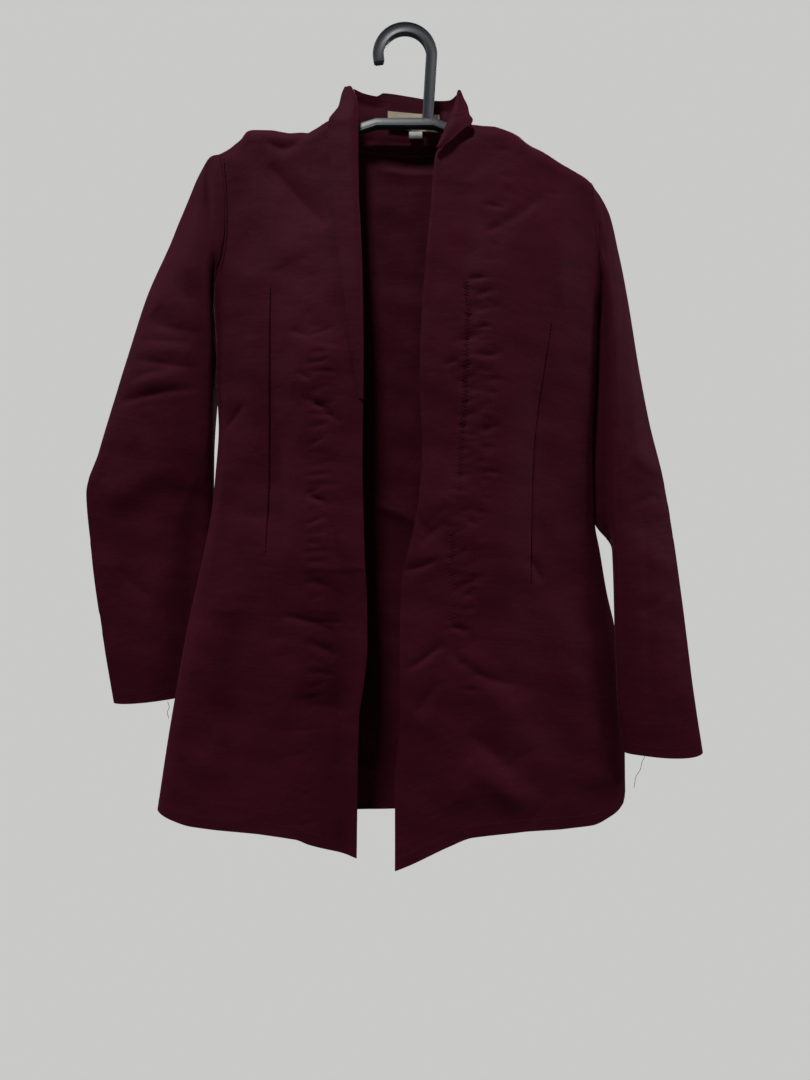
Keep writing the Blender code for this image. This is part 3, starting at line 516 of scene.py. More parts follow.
PUCKERS_RIGHT = (
    puckers(FACING_RIGHT, -112, -300, 15, 0.6) + puckers(FACING_RIGHT, -290, -640, 7, 1.5, (0, 0.3), 34)
    + puckers(FACING_RIGHT, -620, -755, 13, 1.0)
)
PUCKERS_LEFT = (
    puckers(FACING_LEFT, -118, -235, 9, 1.0) + puckers(FACING_LEFT, -238, -420, 8, 1.5)
    + puckers(FACING_LEFT, -420, -665, 8, 1.6) + puckers(ZIGZAG_LEFT, -246, -584, 7, 1.4, (0, 0.5), 30)
)
print(len(PUCKERS_RIGHT) + len(PUCKERS_LEFT), "puckers")

# %% [markdown]
# ## Panels of the body
#
# A panel is a patch between four lines: a Coons patch blends its top, bottom and sides, so each edge is exact
# and the inside runs smoothly. The grid lies closer where the cloth turns towards a seam and along the dart, so
# that both show as real form. Then its depth is set: the cloth stands off the hanger by its table, and comes
# back to the seams at the shoulder and the side, but not at the armhole, where the sleeve carries it on.

# %% Panels of the body
ARMHOLE_ROWS, BODY_ROWS, TURN_STEPS = 72, 262, 9
DART_REACH = 5.0  # how far either side of a dart the columns lie close
Wave = namedtuple("Wave", "x z start high")


def random_waves(count, longest, shortest, steepness):
    """Waves in all directions; the shorter ones are lower, as in any cloth."""
    made = []
    for _ in range(count):
        length = dice.uniform(shortest, longest)
        angle = dice.uniform(0, math.pi)
        turn = 2 * math.pi / length
        made.append(Wave(
            turn * math.cos(angle), turn * math.sin(angle), dice.uniform(0, 6.3), length * steepness,
        ))
    return tuple(made)


WAVES = random_waves(8, 190, 80, 0.0032) + random_waves(12, 60, 22, 0.0030)
Panel = namedtuple("Panel", "points out rows")


def turned(distance):
    """How much of its depth cloth keeps near a seam: a quarter round, then flat."""
    return np.sqrt(1 - (1 - np.clip(distance / TURN, 0, 1)) ** 2)


def row_places(top, bottom):
    """Places down a panel, as parts of its height: close at the shoulder, then even to the hem."""
    height = top - bottom
    turn = TURN / height * (1 - np.cos(np.linspace(0, math.pi / 2, TURN_STEPS)))
    underarm = (top - UNDERARM) / height
    armhole = np.linspace(turn[-1], underarm, ARMHOLE_ROWS + 1)[1:]
    return np.concatenate([turn, armhole, np.linspace(underarm, 1, BODY_ROWS + 1)[1:]])


def armhole_share(rows):
    """1 down the armhole, where the panel keeps its depth, and 0 from the underarm down."""
    underarm = rows[TURN_STEPS - 1 + ARMHOLE_ROWS]
    part = np.clip((rows / underarm - 0.55) / 0.45, 0, 1)
    return np.where(rows >= underarm, 0, np.cos(part * math.pi / 2) ** 0.8)


def down_line(table):
    x_at = curve(table, "z", "x")
    top, bottom = table[0].z, table[-1].z
    return lambda p: (x_at(top + (bottom - top) * np.asarray(p)), top + (bottom - top) * np.asarray(p))


def cross_line(table, start, end):
    z_at = table if callable(table) else curve(table, "x", "z")
    return lambda p: (start + (end - start) * np.asarray(p), z_at(start + (end - start) * np.asarray(p)))


def patch(top, bottom, left, right, across, down_left, down_right):
    """A surface between four lines, each a function that gives x and z at a part of its length."""
    down = down_left[:, None] * (1 - across) + down_right[:, None] * across
    t, b = (np.stack(line(across), -1) for line in (top, bottom))
    le, ri = (np.stack(line(p), -1)[:, None] for line, p in ((left, down_left), (right, down_right)))
    corners = [np.array(line(p)) for line, p in ((top, 0.0), (top, 1.0), (bottom, 0.0), (bottom, 1.0))]
    d, v = down[..., None], across[..., None]
    flat = (1 - d) * ((1 - v) * corners[0] + v * corners[1]) + d * ((1 - v) * corners[2] + v * corners[3])
    return (1 - d) * t + d * b + (1 - v) * le + v * ri - flat


def depth_at(table, part, z):
    first, middle, last = (curve(table, "z", c)(z) for c in ("inner", "middle", "side"))
    return first * (1 - part) * (1 - 2 * part) + 4 * middle * part * (1 - part) + last * part * (2 * part - 1)


def waves(x, z):
    """The slow unevenness that any cloth has."""
    return sum(w.high * np.sin(w.x * x + w.z * z + w.start) for w in WAVES)


def spaced(knots, counts):
    """Places across in every row, evenly spaced between its knots."""
    parts = [
        a[:, None] + (b - a)[:, None] * np.linspace(0, 1, n, endpoint=False)
        for a, b, n in zip(knots, knots[1:], counts)
    ]
    return np.concatenate(parts + [knots[-1][:, None]], axis=1)


def normals(points, closed, towards):
    """Unit directions out of a surface of rows and columns; towards says which side is out."""
    if closed:
        around = np.roll(points, -1, 1) - np.roll(points, 1, 1)
    else:
        around = np.gradient(points, axis=1)
    out = np.cross(around, np.gradient(points, axis=0))
    out /= np.maximum(np.linalg.norm(out, axis=-1, keepdims=True), 1e-9)
    return out if float((out * towards).sum()) > 0 else -out


print("a panel has", TURN_STEPS + ARMHOLE_ROWS + BODY_ROWS, "rows of points")

# %% [markdown]
# ## The fronts
#
# A front is such a patch with everything laid on it in turn: its depth and folds, the return to the seams, the
# creases and slow waves, the dart, the band of the hem and the rolled front edge.

# %% The fronts
DART_EASE_HIGH, DART_EASE_LOW = 16.0, 10.0  # how far the step runs out on the higher and the lower side
DART_SHARE = 0.6  # how much of the step lies on each side
GROOVE_DEEP, GROOVE_WIDE = 0.8, 0.9


def dart_step(dart, x, z):
    """A dart folds cloth under along a line: one side lies higher, with a narrow groove between."""
    x_at = curve((dart.top, dart.middle, dart.bottom), "z", "x")
    part = np.clip((dart.top.z - z) / (dart.top.z - dart.bottom.z), 0, 1)
    fade = np.sin(np.pi * part) ** 0.5
    aside = (x - x_at(z)) * math.copysign(1, dart.step)
    slope = np.where(aside < 0, np.exp(aside / DART_EASE_HIGH), -np.exp(-aside / DART_EASE_LOW))
    groove = -GROOVE_DEEP * np.exp(-((aside / GROOVE_WIDE) ** 2))
    return fade * (abs(dart.step) * slope * DART_SHARE + groove)


def front(edge, side, shoulder, hem, neck_x, depths, seam, folds, fine, dart):
    """The fine middle surface of a front, with its creases."""
    rows = row_places(side[0].z, side[-1].z)
    z_down = side[0].z + (side[-1].z - side[0].z) * rows
    edge_x, side_x = curve(edge, "z", "x")(z_down), curve(side, "z", "x")(z_down)
    width = np.abs(side_x - edge_x)
    neck = np.full(len(rows), abs(neck_x - edge[0].x) / abs(side[0].x - edge[0].x))
    dart_x = curve((dart.top, dart.middle, dart.bottom), "z", "x")(z_down)
    at_dart = np.abs(dart_x - edge_x) / width
    reach, turn = DART_REACH / width, TURN / 150
    flat = spaced([neck * 0, neck, at_dart - reach, at_dart + reach, neck * 0 + 1 - turn], [20, 26, 12, 30])
    closing = 1 - turn * (1 - np.cos(np.linspace(math.pi / 2, 0, TURN_STEPS)))[1:]
    across = np.concatenate([flat, np.tile(closing, (len(rows), 1))], axis=1)
    laid = patch(
        cross_line(shoulder, edge[0].x, side[0].x), cross_line(hem, edge[-1].x, side[-1].x),
        down_line(edge), down_line(side), across, rows, rows,
    )
    x, z = laid[..., 0], laid[..., 1]
    seam_y = curve(SEAM_DEPTH, "z", seam)(z) - SEAM / 2
    lie = depth_at(depths, across, z) - lift_at(folds, x, z, 0, 0)
    keep = armhole_share(rows)[:, None]
    at_side = keep + (1 - keep) * turned((1 - across) / turn * TURN)
    at_top = turned(rows * (side[0].z - side[-1].z))[:, None]
    free = np.clip(1 - across[:1] / neck[0], 0, 1) ** 0.5
    share = at_side * (free + (1 - free) * at_top)
    y = seam_y + (lie - seam_y) * share
    inside = np.clip((1 - across) / turn, 0, 1) * at_top
    y = y - inside * (lift_at(fine, x, z) + waves(x, z) + dart_step(dart, x, z))
    y = y - hem_band(hem, x, z) - edge_roll(np.abs(x - curve(edge, "z", "x")(z)))
    points = np.stack([x, y, z], -1)
    return Panel(points, normals(points, False, (0, -1, 0)), rows)


HEM_FOLD = 12.0  # how wide the folded hem is
HEM_RISE, HEM_STEP = 0.25, 0.6  # how far it stands proud, and over what width that begins
ROLL_DEEP, ROLL_WIDE = 0.25, 0.6
RIDGE_HIGH, RIDGE_AT = 0.2, 3.0


def hem_step(up):
    """A hem is folded up twice behind, so a band above it stands a little proud, as far as its stitches."""
    return HEM_RISE / (1 + np.exp(np.clip((up - HEM_FOLD) / HEM_STEP, -30, 30)))


def hem_band(hem, x, z):
    return hem_step(z - curve(hem, "x", "z")(x))


def edge_roll(inside):
    """A folded front edge is rounded, and bears a faint ridge where the layers end."""
    ridge = RIDGE_HIGH * np.exp(-(((inside - RIDGE_AT) / RIDGE_AT) ** 2))
    return -ROLL_DEEP * np.exp(-inside / ROLL_WIDE) + ridge


right = front(
    EDGE_RIGHT, SIDE_RIGHT, SHOULDER_RIGHT, HEM_RIGHT, NECK_RIGHT, DEPTH_RIGHT, "right", FOLDS_RIGHT,
    CREASES_RIGHT + PUCKERS_RIGHT, DART_RIGHT,
)
left = front(
    EDGE_LEFT, SIDE_LEFT, SHOULDER_LEFT, HEM_LEFT, NECK_LEFT, DEPTH_LEFT, "left", FOLDS_LEFT,
    CREASES_LEFT + PUCKERS_LEFT, DART_LEFT,
)
print("fronts of", right.points.shape[:2], "and", left.points.shape[:2], "points")

# %% [markdown]
# ## The back
#
# The back is one piece from side seam to side seam. Its top follows both shoulder seams and the neckline. Inside
# the open front it is what the eye sees, darker because light hardly reaches it.

# %% The back
shoulder_right, shoulder_left = curve(SHOULDER_RIGHT, "x", "z"), curve(SHOULDER_LEFT, "x", "z")
neckline = curve(NECKLINE, "x", "z")


def back_top(x):
    return np.where(x < NECK_RIGHT, shoulder_right(x), np.where(x > NECK_LEFT, shoulder_left(x), neckline(x)))


def make_back():
    rows_right, rows_left = (row_places(s[0].z, s[-1].z) for s in (SIDE_RIGHT, SIDE_LEFT))
    start, end = SIDE_RIGHT[0].x, SIDE_LEFT[0].x
    width = end - start
    turn = TURN / width
    closing = turn * (1 - np.cos(np.linspace(0, math.pi / 2, TURN_STEPS)))
    neck = [(NECK_RIGHT - start) / width, (NECK_LEFT - start) / width]
    middle = np.concatenate([
        np.linspace(turn, neck[0], 30)[1:], np.linspace(*neck, 46)[1:], np.linspace(neck[1], 1 - turn, 34)[1:],
    ])
    across = np.concatenate([closing, middle, 1 - closing[::-1][1:]])[None, :].repeat(len(rows_right), 0)
    laid = patch(
        cross_line(back_top, start, end), cross_line(HEM_BACK, SIDE_RIGHT[-1].x, SIDE_LEFT[-1].x),
        down_line(SIDE_RIGHT), down_line(SIDE_LEFT), across, rows_right, rows_left,
    )
    x, z = laid[..., 0], laid[..., 1]
    right_y, left_y = (curve(SEAM_DEPTH, "z", c)(z) + SEAM / 2 for c in ("right", "left"))
    seam_y = right_y * (1 - across) + left_y * across
    lie = depth_at(DEPTH_BACK, across, z) + lift_at(FOLDS_BACK, x, z, 0, 0)
    keep_right, keep_left = (armhole_share(r)[:, None] for r in (rows_right, rows_left))
    at_right = keep_right + (1 - keep_right) * turned(across / turn * TURN)
    at_left = keep_left + (1 - keep_left) * turned((1 - across) / turn * TURN)
    free = turned(np.minimum(x[:1] - NECK_RIGHT, NECK_LEFT - x[:1]))
    at_top = turned(rows_right * (SIDE_RIGHT[0].z - SIDE_RIGHT[-1].z))[:, None]
    share = at_right * at_left * (free + (1 - free) * at_top)
    inside = np.clip(np.minimum(across, 1 - across) / turn, 0, 1) * at_top
    y = seam_y + (lie - seam_y) * share
    y = y + inside * (lift_at(CREASES_BACK, x, z) + waves(x + 400, z)) + hem_band(HEM_BACK, x, z)
    points = np.stack([x, y, z], -1)
    return Panel(points, normals(points, False, (0, 1, 0)), (rows_right, rows_left))


rear = make_back()
print("back of", rear.points.shape[:2], "points")

# %% [markdown]
# ## From points to cloth
#
# A grid from `create_grid` has the right faces already. Its vertices are moved to the outer side of the cloth,
# and the grid is extruded to the inner side, which makes a closed wall of real thickness. The map in metres is
# written on the way, measured along the cloth, so that the weave keeps its scale on every piece.

# %% From points to cloth
WALL = 1.6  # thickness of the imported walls
CLOTH = 0.6  # thickness of this cloth, whose outer side lies on that of the wall
KEEP_SHARP = math.radians(50)


def measured(points):
    """Distances along the columns and the rows of a surface, in metres."""
    across = np.linalg.norm(np.diff(points, axis=1), axis=-1).mean(axis=0)
    down = np.linalg.norm(np.diff(points, axis=0), axis=-1).mean(axis=1)
    return tuple(np.concatenate([[0], np.cumsum(part)]) * MM for part in (across, down))


def finish(name, mesh, materials, slot):
    """Turns a bmesh into a piece that rides on the body, with the materials given; slot is not used."""
    data = bpy.data.meshes.new(name)
    mesh.to_mesh(data)
    mesh.free()
    data.shade_smooth()
    data.set_sharp_from_angle(angle=KEEP_SHARP)
    made = bpy.data.objects.new(name, data)
    bpy.context.scene.collection.objects.link(made)
    for material in materials:
        data.materials.append(material)
    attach(made, "root")
    return made


def cloth(name, points, out, closed=False):
    """Cloth on a middle surface: a grid on its outer side, extruded to the inner one."""
    rows, columns = points.shape[:2]
    if closed:
        points, out = (np.concatenate([a, a[:, :1]], axis=1) for a in (points, out))
    columns = points.shape[1]
    sides = [((points + out * lift).reshape(-1, 3) * MM) for lift in (WALL / 2, WALL / 2 - CLOTH)]
    across, down = measured(points)
    mesh = bmesh.new()
    station = mesh.verts.layers.int.new("station")
    weave = mesh.loops.layers.uv.new("weave")
    bmesh.ops.create_grid(mesh, x_segments=columns - 1, y_segments=rows - 1, size=1)
    for i, vertex in enumerate(mesh.verts):
        vertex[station] = i
        vertex.co = sides[0][i]
    for face in mesh.faces:
        for loop in face.loops:
            row, column = divmod(loop.vert[station], columns)
            loop[weave].uv = (across[column], down[row])
    if closed:
        bmesh.ops.remove_doubles(mesh, verts=mesh.verts, dist=1e-6)
    grown = bmesh.ops.extrude_face_region(mesh, geom=mesh.faces[:], use_keep_orig=True)
    for vertex in [part for part in grown["geom"] if isinstance(part, bmesh.types.BMVert)]:
        vertex.co = sides[1][vertex[station]]
    bmesh.ops.recalc_face_normals(mesh, faces=mesh.faces)
    return finish(name, mesh, [cloth_finish], "cloth")


def told(piece):
    """What a cell prints of a cloth: its faces, and how much cloth it is."""
    area = sum(face.area for face in piece.data.polygons) / 2
    return f"{len(piece.data.polygons)} faces and {area:.4f} square metres of cloth"


pieces = {}
for name, panel in (("front_right", right), ("front_left", left), ("back_panel", rear)):
    pieces[name] = cloth(f"{name}_cloth", panel.points, panel.out)
    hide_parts(name)
    print(name, "has", told(pieces[name]))

# %% [markdown]
# ## Sleeves
#
# Each sleeve is a flat tube, cut in one and eased into the armhole. Its rings are given by three lines: the outer
# one, the fold at the front and the line next to the body. The first ring is the armhole itself, taken from the
# panels, so the seam closes. The rings are rounded a little where cloth can't fold sharply.

# %% Sleeves
Ring = namedtuple("Ring", "outer fold inner front back")
RINGS_RIGHT = (
    Ring((-187.5, -1, -119), (-184, -12, -222), (-188, 4, -275.5), 4, 7.5),
    Ring((-197.5, -2, -134), (-187, -13, -228), (-188.5, 5.5, -282), 5.5, 8),
    Ring((-208.4, -3, -160), (-188, -14, -248), (-185.3, 7.5, -296), 7, 8),
    Ring((-225.3, -4, -202), (-187, -14, -278), (-183.2, 8.5, -313), 9, 8),
    Ring((-249.8, -4, -257), (-186, -13, -312), (-181, 9, -333), 10, 8),
    Ring((-267.4, -4, -312), (-186, -11, -345), (-184.5, 8, -356), 10, 7),
    Ring((-288, -2, -376), (-187, -7, -400), (-188.8, 6, -400), 9, 6),
    Ring((-298, -1, -408), (-188, -3, -428), (-189.8, 7, -428), 8.5, 5.5),
    Ring((-311, 1, -448), (-189, 2, -460), (-190.8, 9, -460), 8, 5),
    Ring((-306.5, 5, -512), (-192, 5, -516), (-192, 11, -516), 6, 3.5),
    Ring((-294, 5, -600), (-202, 5, -600), (-202, 10, -600), 6, 4.5),
    Ring((-285.5, 6, -652), (-209, 5, -645), (-209, 10, -645), 6, 4.5),
)
RINGS_LEFT = (
    Ring((190, 0, -158), (190, -13, -226), (191, 5, -284), 4, 8),
    Ring((199.5, 0, -178), (194, -14.5, -245), (188, 8.5, -302), 5, 6),
    Ring((206.5, 0, -207), (197.5, -16, -273), (185, 9.5, -327), 5, 5),
    Ring((215.5, 0, -252), (198.5, -17, -310), (184.8, 9.5, -357), 5, 5),
    Ring((226, 0, -317), (199, -17.5, -355), (183.4, 9.5, -392), 5, 5),
    Ring((237.3, -2, -380), (199, -18, -405), (183, 9.5, -432), 5, 5),
    Ring((250.4, -4, -436), (199, -19, -452), (185, 9, -474), 6, 5),
    Ring((259, -6, -490), (199.5, -20, -500), (203, -4, -505), 6, 5),
    Ring((268, -8, -560), (200.5, -21, -565), (204, -12, -565), 6, 5),
    Ring((277, -11, -640), (203, -21, -640), (206, -13, -640), 6, 5),
    Ring((285, -13, -696), (209, -19, -695), (211, -12, -695), 6, 5),
)
FOLDS_SLEEVE_RIGHT = (
    Crease(-275, -345, -205, -335, 12, 3), Crease(-290, -455, -215, -420, 14, 3),
    Crease(-240, -270, -205, -310, 12, -3),
)
FOLDS_SLEEVE_LEFT = (Crease(255, -430, 215, -410, 10, 2.5), Crease(262, -520, 215, -500, 12, 2))
CREASES_SLEEVE_RIGHT = (
    Crease(-193, -124, -189, -222, 3.6, -3.9), Crease(-255, -280, -188, -296, 4.3, -1.7, 2),
    Crease(-258, -300, -203, -305, 3.6, -1.7), Crease(-266, -339, -222, -331, 3.6, -2.0, -2),
    Crease(-278, -361, -193, -347, 2.4, -2.2, -2), Crease(-202, -431, -217, -476, 2.3, 2.0, 3),
    Crease(-209, -437, -212, -620, 7.2, -2.4), Crease(-232, -430, -250, -640, 14, 1.7),
    Crease(-265, -400, -240, -470, 7.2, -1.4, 3), Crease(-222, -180, -205, -260, 7.2, 1.8),
    Crease(-247, -300, -215, -350, 6.5, 1.4), Crease(-281, -520, -240, -552, 5.8, -1.2, 2),
    Crease(-222, -460, -236, -690, 17, 3.6, 2), Crease(-203, -440, -210, -690, 14, -9.0),
    Crease(-259, -318, -196, -328, 2.9, -1.8, 2),
)
CREASES_SLEEVE_LEFT = (
    Crease(187, -187, 197, -259, 3.2, -3.6), Crease(216, -300, 222, -420, 7.2, 1.8),
    Crease(245, -450, 214, -462, 4.3, -1.5, 2), Crease(257, -540, 222, -560, 5.8, -1.4, -2),
    Crease(262, -600, 240, -680, 7.2, 1.5), Crease(228, -470, 232, -650, 6.5, -1.4),
    Crease(209, -245, 206, -330, 4.3, -1.5),
)
CREASES_BEHIND_RIGHT = (
    Crease(-270, -330, -195, -360, 5.0, -2.7, 3), Crease(-240, -250, -195, -300, 5.8, -2.4, -3),
    Crease(-290, -430, -200, -445, 5.8, -2.2, 4), Crease(-280, -560, -210, -590, 6.5, -1.8),
)
CREASES_BEHIND_LEFT = (
    Crease(236, -360, 195, -392, 5.0, -2.2, 3), Crease(252, -450, 203, -470, 5.8, -2.1, -3),
    Crease(270, -570, 212, -600, 6.5, -1.8, 3),
)
print(len(RINGS_RIGHT), "and", len(RINGS_LEFT), "rings for the sleeves")

# %% [markdown]
# ## Sleeves from their rings
#
# A smooth line through each point of all the rings gives the tube, and the folds and creases are added where it
# faces front or back. The armhole's ring is moved out a little at the underarm, where the sleeve hangs free.

# %% Sleeves from their rings
ROUND, FRONT_RUN, INNER_RUN = 144, 60, 12
RINGS_DOWN = 216
RECESS = 7.0  # how far the cloth next to the body falls back, behind the front fold
COARSE_STEP = 6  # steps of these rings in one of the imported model's
COARSE_TURN = 0, 5, 25, 47, 68, 90  # angles of that model's columns at a seam, and its steps below them
COARSE_DOWN = 7
EASE, EASE_DROP = 1.6, 0.7  # how much more the sleeve stands off the body at the underarm, and how far down
EASE_STEPS = 5
SEAM_REACH = 8.0  # how far from the armhole the creases begin
CUFF_REACH = 60.0  # how far from the cuff its bow begins
TO_FOLD = 1.8  # how much closer the points lie at the front fold
FULLNESS = 0.6  # how boxy a sleeve is across: the less, the boxier


def sleeve_ring(ring):
    """One ring: along the front to the fold, in to the body, and back round behind."""
    outer, fold, inner = (np.array(p, float) for p in (ring.outer, ring.fold, ring.inner))
    back_run = FRONT_RUN + INNER_RUN
    front_at = (np.arange(FRONT_RUN) / FRONT_RUN) ** TO_FOLD
    back_at = 1 - (1 - np.arange(back_run) / back_run) ** TO_FOLD

    def run(start, end, at, push):
        return start + np.outer(at, end - start) + np.outer(np.sin(np.pi * at) ** FULLNESS * push, (0, 1, 0))

    return np.concatenate([
        run(outer, fold, front_at, -ring.front),
        run(fold, inner, np.arange(INNER_RUN) / INNER_RUN, RECESS),
        run(inner, outer, back_at, ring.back),
    ])


def armhole(front_panel, column, back_column, top, bottom, rows_back):
    """The armhole as a ring of points with the panels' directions out."""
    height = top - bottom
    turn = TURN / height * (1 - np.cos(np.radians(COARSE_TURN)))
    coarse = np.concatenate([turn, np.linspace(turn[-1], (top - UNDERARM) / height, COARSE_DOWN + 1)[1:]])
    wanted = np.interp(np.arange(ROUND // 2 + 1) / COARSE_STEP, np.arange(len(coarse)), coarse)

    def along(rows, values):
        return np.stack([np.interp(wanted, rows, values[:, k]) for k in range(3)], -1)

    return [
        np.concatenate([
            along(front_panel.rows, near[:, column]), along(rows_back, far[:, back_column])[::-1][1:-1],
        ])
        for near, far in ((front_panel.points, rear.points), (front_panel.out, rear.out))
    ]


def eased(ring):
    """Rounds a closed ring of points a little."""
    for _ in range(6):
        ring = (np.roll(ring, 1, 1) + 2 * ring + np.roll(ring, -1, 1)) / 4
    return ring


def make_sleeve(rings, hole, folds, fine, behind, outwards, bow):
    """The fine middle surface of a sleeve, from its armhole to the cuff."""
    step = np.arange(ROUND)
    low = np.clip(1 - abs(step - ROUND / 2) / (EASE_STEPS * COARSE_STEP), 0, 1)[:, None]
    first = hole[0] + np.array([outwards, 0, 0]) * SEAM + np.array([outwards, 0, -EASE_DROP]) * EASE * low
    controls = np.concatenate([first[None], eased(np.stack([sleeve_ring(r) for r in rings]))])
    at = np.concatenate([[0], np.cumsum(np.linalg.norm(np.diff(controls[:, 0], axis=0), axis=1))])
    points = smooth(at, controls)(np.linspace(0, at[-1], RINGS_DOWN))
    x, z = points[..., 0], points[..., 2]
    in_front = np.sin(np.pi * np.clip(step / FRONT_RUN, 0, 1))
    at_back = np.sin(np.pi * np.clip((step - FRONT_RUN - INNER_RUN) / (ROUND / 2), 0, 1))
    from_cuff = (at[-1] - np.linspace(0, at[-1], RINGS_DOWN))[:, None]
    seamed = np.clip(np.linspace(0, at[-1], RINGS_DOWN)[:, None] / SEAM_REACH, 0, 1)
    points[..., 1] -= lift_at(folds, x, z, 0, 0) * in_front
    points[..., 1] -= (lift_at(fine, x, z) + waves(x, z + 200)) * in_front**0.5 * seamed
    points[..., 1] += (lift_at(behind, x, z) + waves(x + 90, z)) * at_back * seamed
    low_end = np.clip(1 - from_cuff / CUFF_REACH, 0, 1) ** 2
    points[..., 2] -= bow * low_end * np.clip(in_front + at_back, 0, 1)
    out = normals(points, True, points - points.mean(axis=1, keepdims=True))
    out[0] = hole[1]
    return Panel(points + out * (hem_step(from_cuff) * in_front)[..., None], out, None)


hole_right = armhole(right, -1, 0, SIDE_RIGHT[0].z, SIDE_RIGHT[-1].z, rear.rows[0])
hole_left = armhole(left, -1, -1, SIDE_LEFT[0].z, SIDE_LEFT[-1].z, rear.rows[1])
sleeve_right = make_sleeve(
    RINGS_RIGHT, hole_right, FOLDS_SLEEVE_RIGHT, CREASES_SLEEVE_RIGHT, CREASES_BEHIND_RIGHT, -1, 2.0
)
sleeve_left = make_sleeve(
    RINGS_LEFT, hole_left, FOLDS_SLEEVE_LEFT, CREASES_SLEEVE_LEFT, CREASES_BEHIND_LEFT, 1, 4.5
)
for name, panel in (("sleeve_right", sleeve_right), ("sleeve_left", sleeve_left)):
    pieces[name] = cloth(f"{name}_cloth", panel.points, panel.out, closed=True)
    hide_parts(name)
    print(name, "has", told(pieces[name]))

# %% [markdown]
# ## Neck band and lapels
#
# The band stands up round the back of the neck. The right facing is turned outwards into a long narrow lapel,
# rolled over where the front is folded; the left one twists into a strip that dives under the front. Both lie on
# their panels, so their depth is the panel's own, moved out by the walls between.

# %% Neck band and lapels
Top = namedtuple("Top", "x y z")
BAND_TOP = (
    Top(-57, -3, -53), Top(-51, 2, -51), Top(-40, 6, -53.5), Top(-27.6, 9, -54.5), Top(-21.7, 10, -51),
    Top(7, 11, -54.4), Top(18, 11, -56.4), Top(44, 7, -59.6), Top(50, 3, -57), Top(52.7, -1, -55.5),
)
BAND_INSET = 4.0
ALLOWANCE = 4.5  # cloth below the neck seam, which lies over the back's edge inside
Lapel = namedtuple("Lapel", "z outer inner y")
LAPEL_RIGHT = (
    Lapel(-54, -58.5, -52, -5.5), Lapel(-62, -61.3, -48, -7.5), Lapel(-75, -64, -45.6, -10),
    Lapel(-84, -70, -45.5, -12), Lapel(-89, -73, -45.4, -13), Lapel(-98, -74, -45.3, -13),
    Lapel(-112, -73, -45.2, -14), Lapel(-136, -70, -45, -15), Lapel(-164, -68, -44.5, -17),
    Lapel(-187, -66.5, -43, -19), Lapel(-233, -60.5, -41, -22), Lapel(-266, -56.7, -40.2, -25),
    Lapel(-323, -49, -39.7, -27), Lapel(-360, -44, -39.7, -29),
)
LAPEL_LEFT = (
    Lapel(-58, 54, 51.5, -6), Lapel(-66, 56.8, 49.5, -7.5), Lapel(-75, 60.5, 47.2, -9.5),
    Lapel(-84, 62, 43.5, -12), Lapel(-90, 65, 41.5, -13.5), Lapel(-94.5, 63.5, 40, -14.5),
    Lapel(-98, 58, 38.6, -15), Lapel(-102, 53, 37.2, -15.5), Lapel(-110, 45, 34, -16.5),
    Lapel(-119, 33.5, 30, -17.5),
)
CREASES_BAND = (
    Crease(-50, -62, -18, -66, 5, -1.8), Crease(20, -66, 48, -70, 5, -2.1), Crease(-40, -98, 36, -100, 3, -1.7),
    Crease(-55, -75, -35, -96, 6, 1.8),
)
SHOULDER_TOP = -84.0
BAND_ROWS, LAPEL_ROWS, LAPEL_COLUMNS = 30, 110, 14
ROLL_BIAS = 2.2  # how close to the folded edge the lapel is fullest
FOLD_SHARP = 0.06  # part of a lapel's width over which its folded edge falls away


def make_band():
    """The stand of the collar, from the back's neckline up to its own top edge."""
    row = rear.points[0]
    inside = (row[:, 0] > NECK_RIGHT + BAND_INSET - 0.5) & (row[:, 0] < NECK_LEFT - BAND_INSET + 0.5)
    low = row[inside].copy()
    from_end = np.minimum(low[:, 0] - low[0, 0], low[-1, 0] - low[:, 0])
    low[:, 2] += SEAM + np.clip(1 - from_end / TURN, 0, 1)
    part = (low[:, 0] - low[0, 0]) / (low[-1, 0] - low[0, 0])
    top_x = BAND_TOP[0].x + (BAND_TOP[-1].x - BAND_TOP[0].x) * part
    high = np.stack([top_x, curve(BAND_TOP, "x", "y")(top_x), curve(BAND_TOP, "x", "z")(top_x)], -1)
    up = np.concatenate([[-1, -0.5, -0.1], np.linspace(0, 1, BAND_ROWS)])[:, None, None]
    rise = np.maximum(up, 0)
    below = np.maximum(-up, 0)
    points = low * (1 - rise) + high * rise - below * np.array([0, 0, ALLOWANCE])
    points[..., 1] -= lift_at(CREASES_BAND, points[..., 0], points[..., 2]) * (rise[..., 0] > 0)
    points[..., 1] -= (WALL + SEAM) * np.clip(below[..., 0] * 6, 0, 1)
    return Panel(points, normals(points, False, (0, 1, 0)), None)


def panel_depth(edge, side, depths, folds):
    edge_x, side_x = curve(edge, "z", "x"), curve(side, "z", "x")

    def read(x, z):
        part = np.clip((x - edge_x(z)) / (side_x(z) - edge_x(z)), 0, 1)
        return depth_at(depths, part, z) - lift_at(folds, x, z, 0, 0)

    return read


def make_lapel(rows, depth, roll):
    """A lapel on its panel, thick and round at the fold and thin at its free edge."""
    z = np.linspace(rows[0].z, rows[-1].z, LAPEL_ROWS)
    outer, inner, own = (curve(rows, "z", c)(z) for c in ("outer", "inner", "y"))
    across = np.linspace(0, 1, LAPEL_COLUMNS)[None, :]
    x = outer[:, None] * (1 - across) + inner[:, None] * across
    above = np.maximum(z - SHOULDER_TOP, 0)[:, None]  # no panel lies under it there
    y = np.minimum(depth(x, z[:, None]) - WALL - SEAM + above, own[:, None])
    y = y - roll * np.sin(np.pi * across**ROLL_BIAS) + 0.5 * roll * np.exp(-(1 - across) / FOLD_SHARP)
    points = np.stack([x, y, np.broadcast_to(z[:, None], x.shape)], -1)
    return Panel(points, normals(points, False, (0, -1, 0)), None)


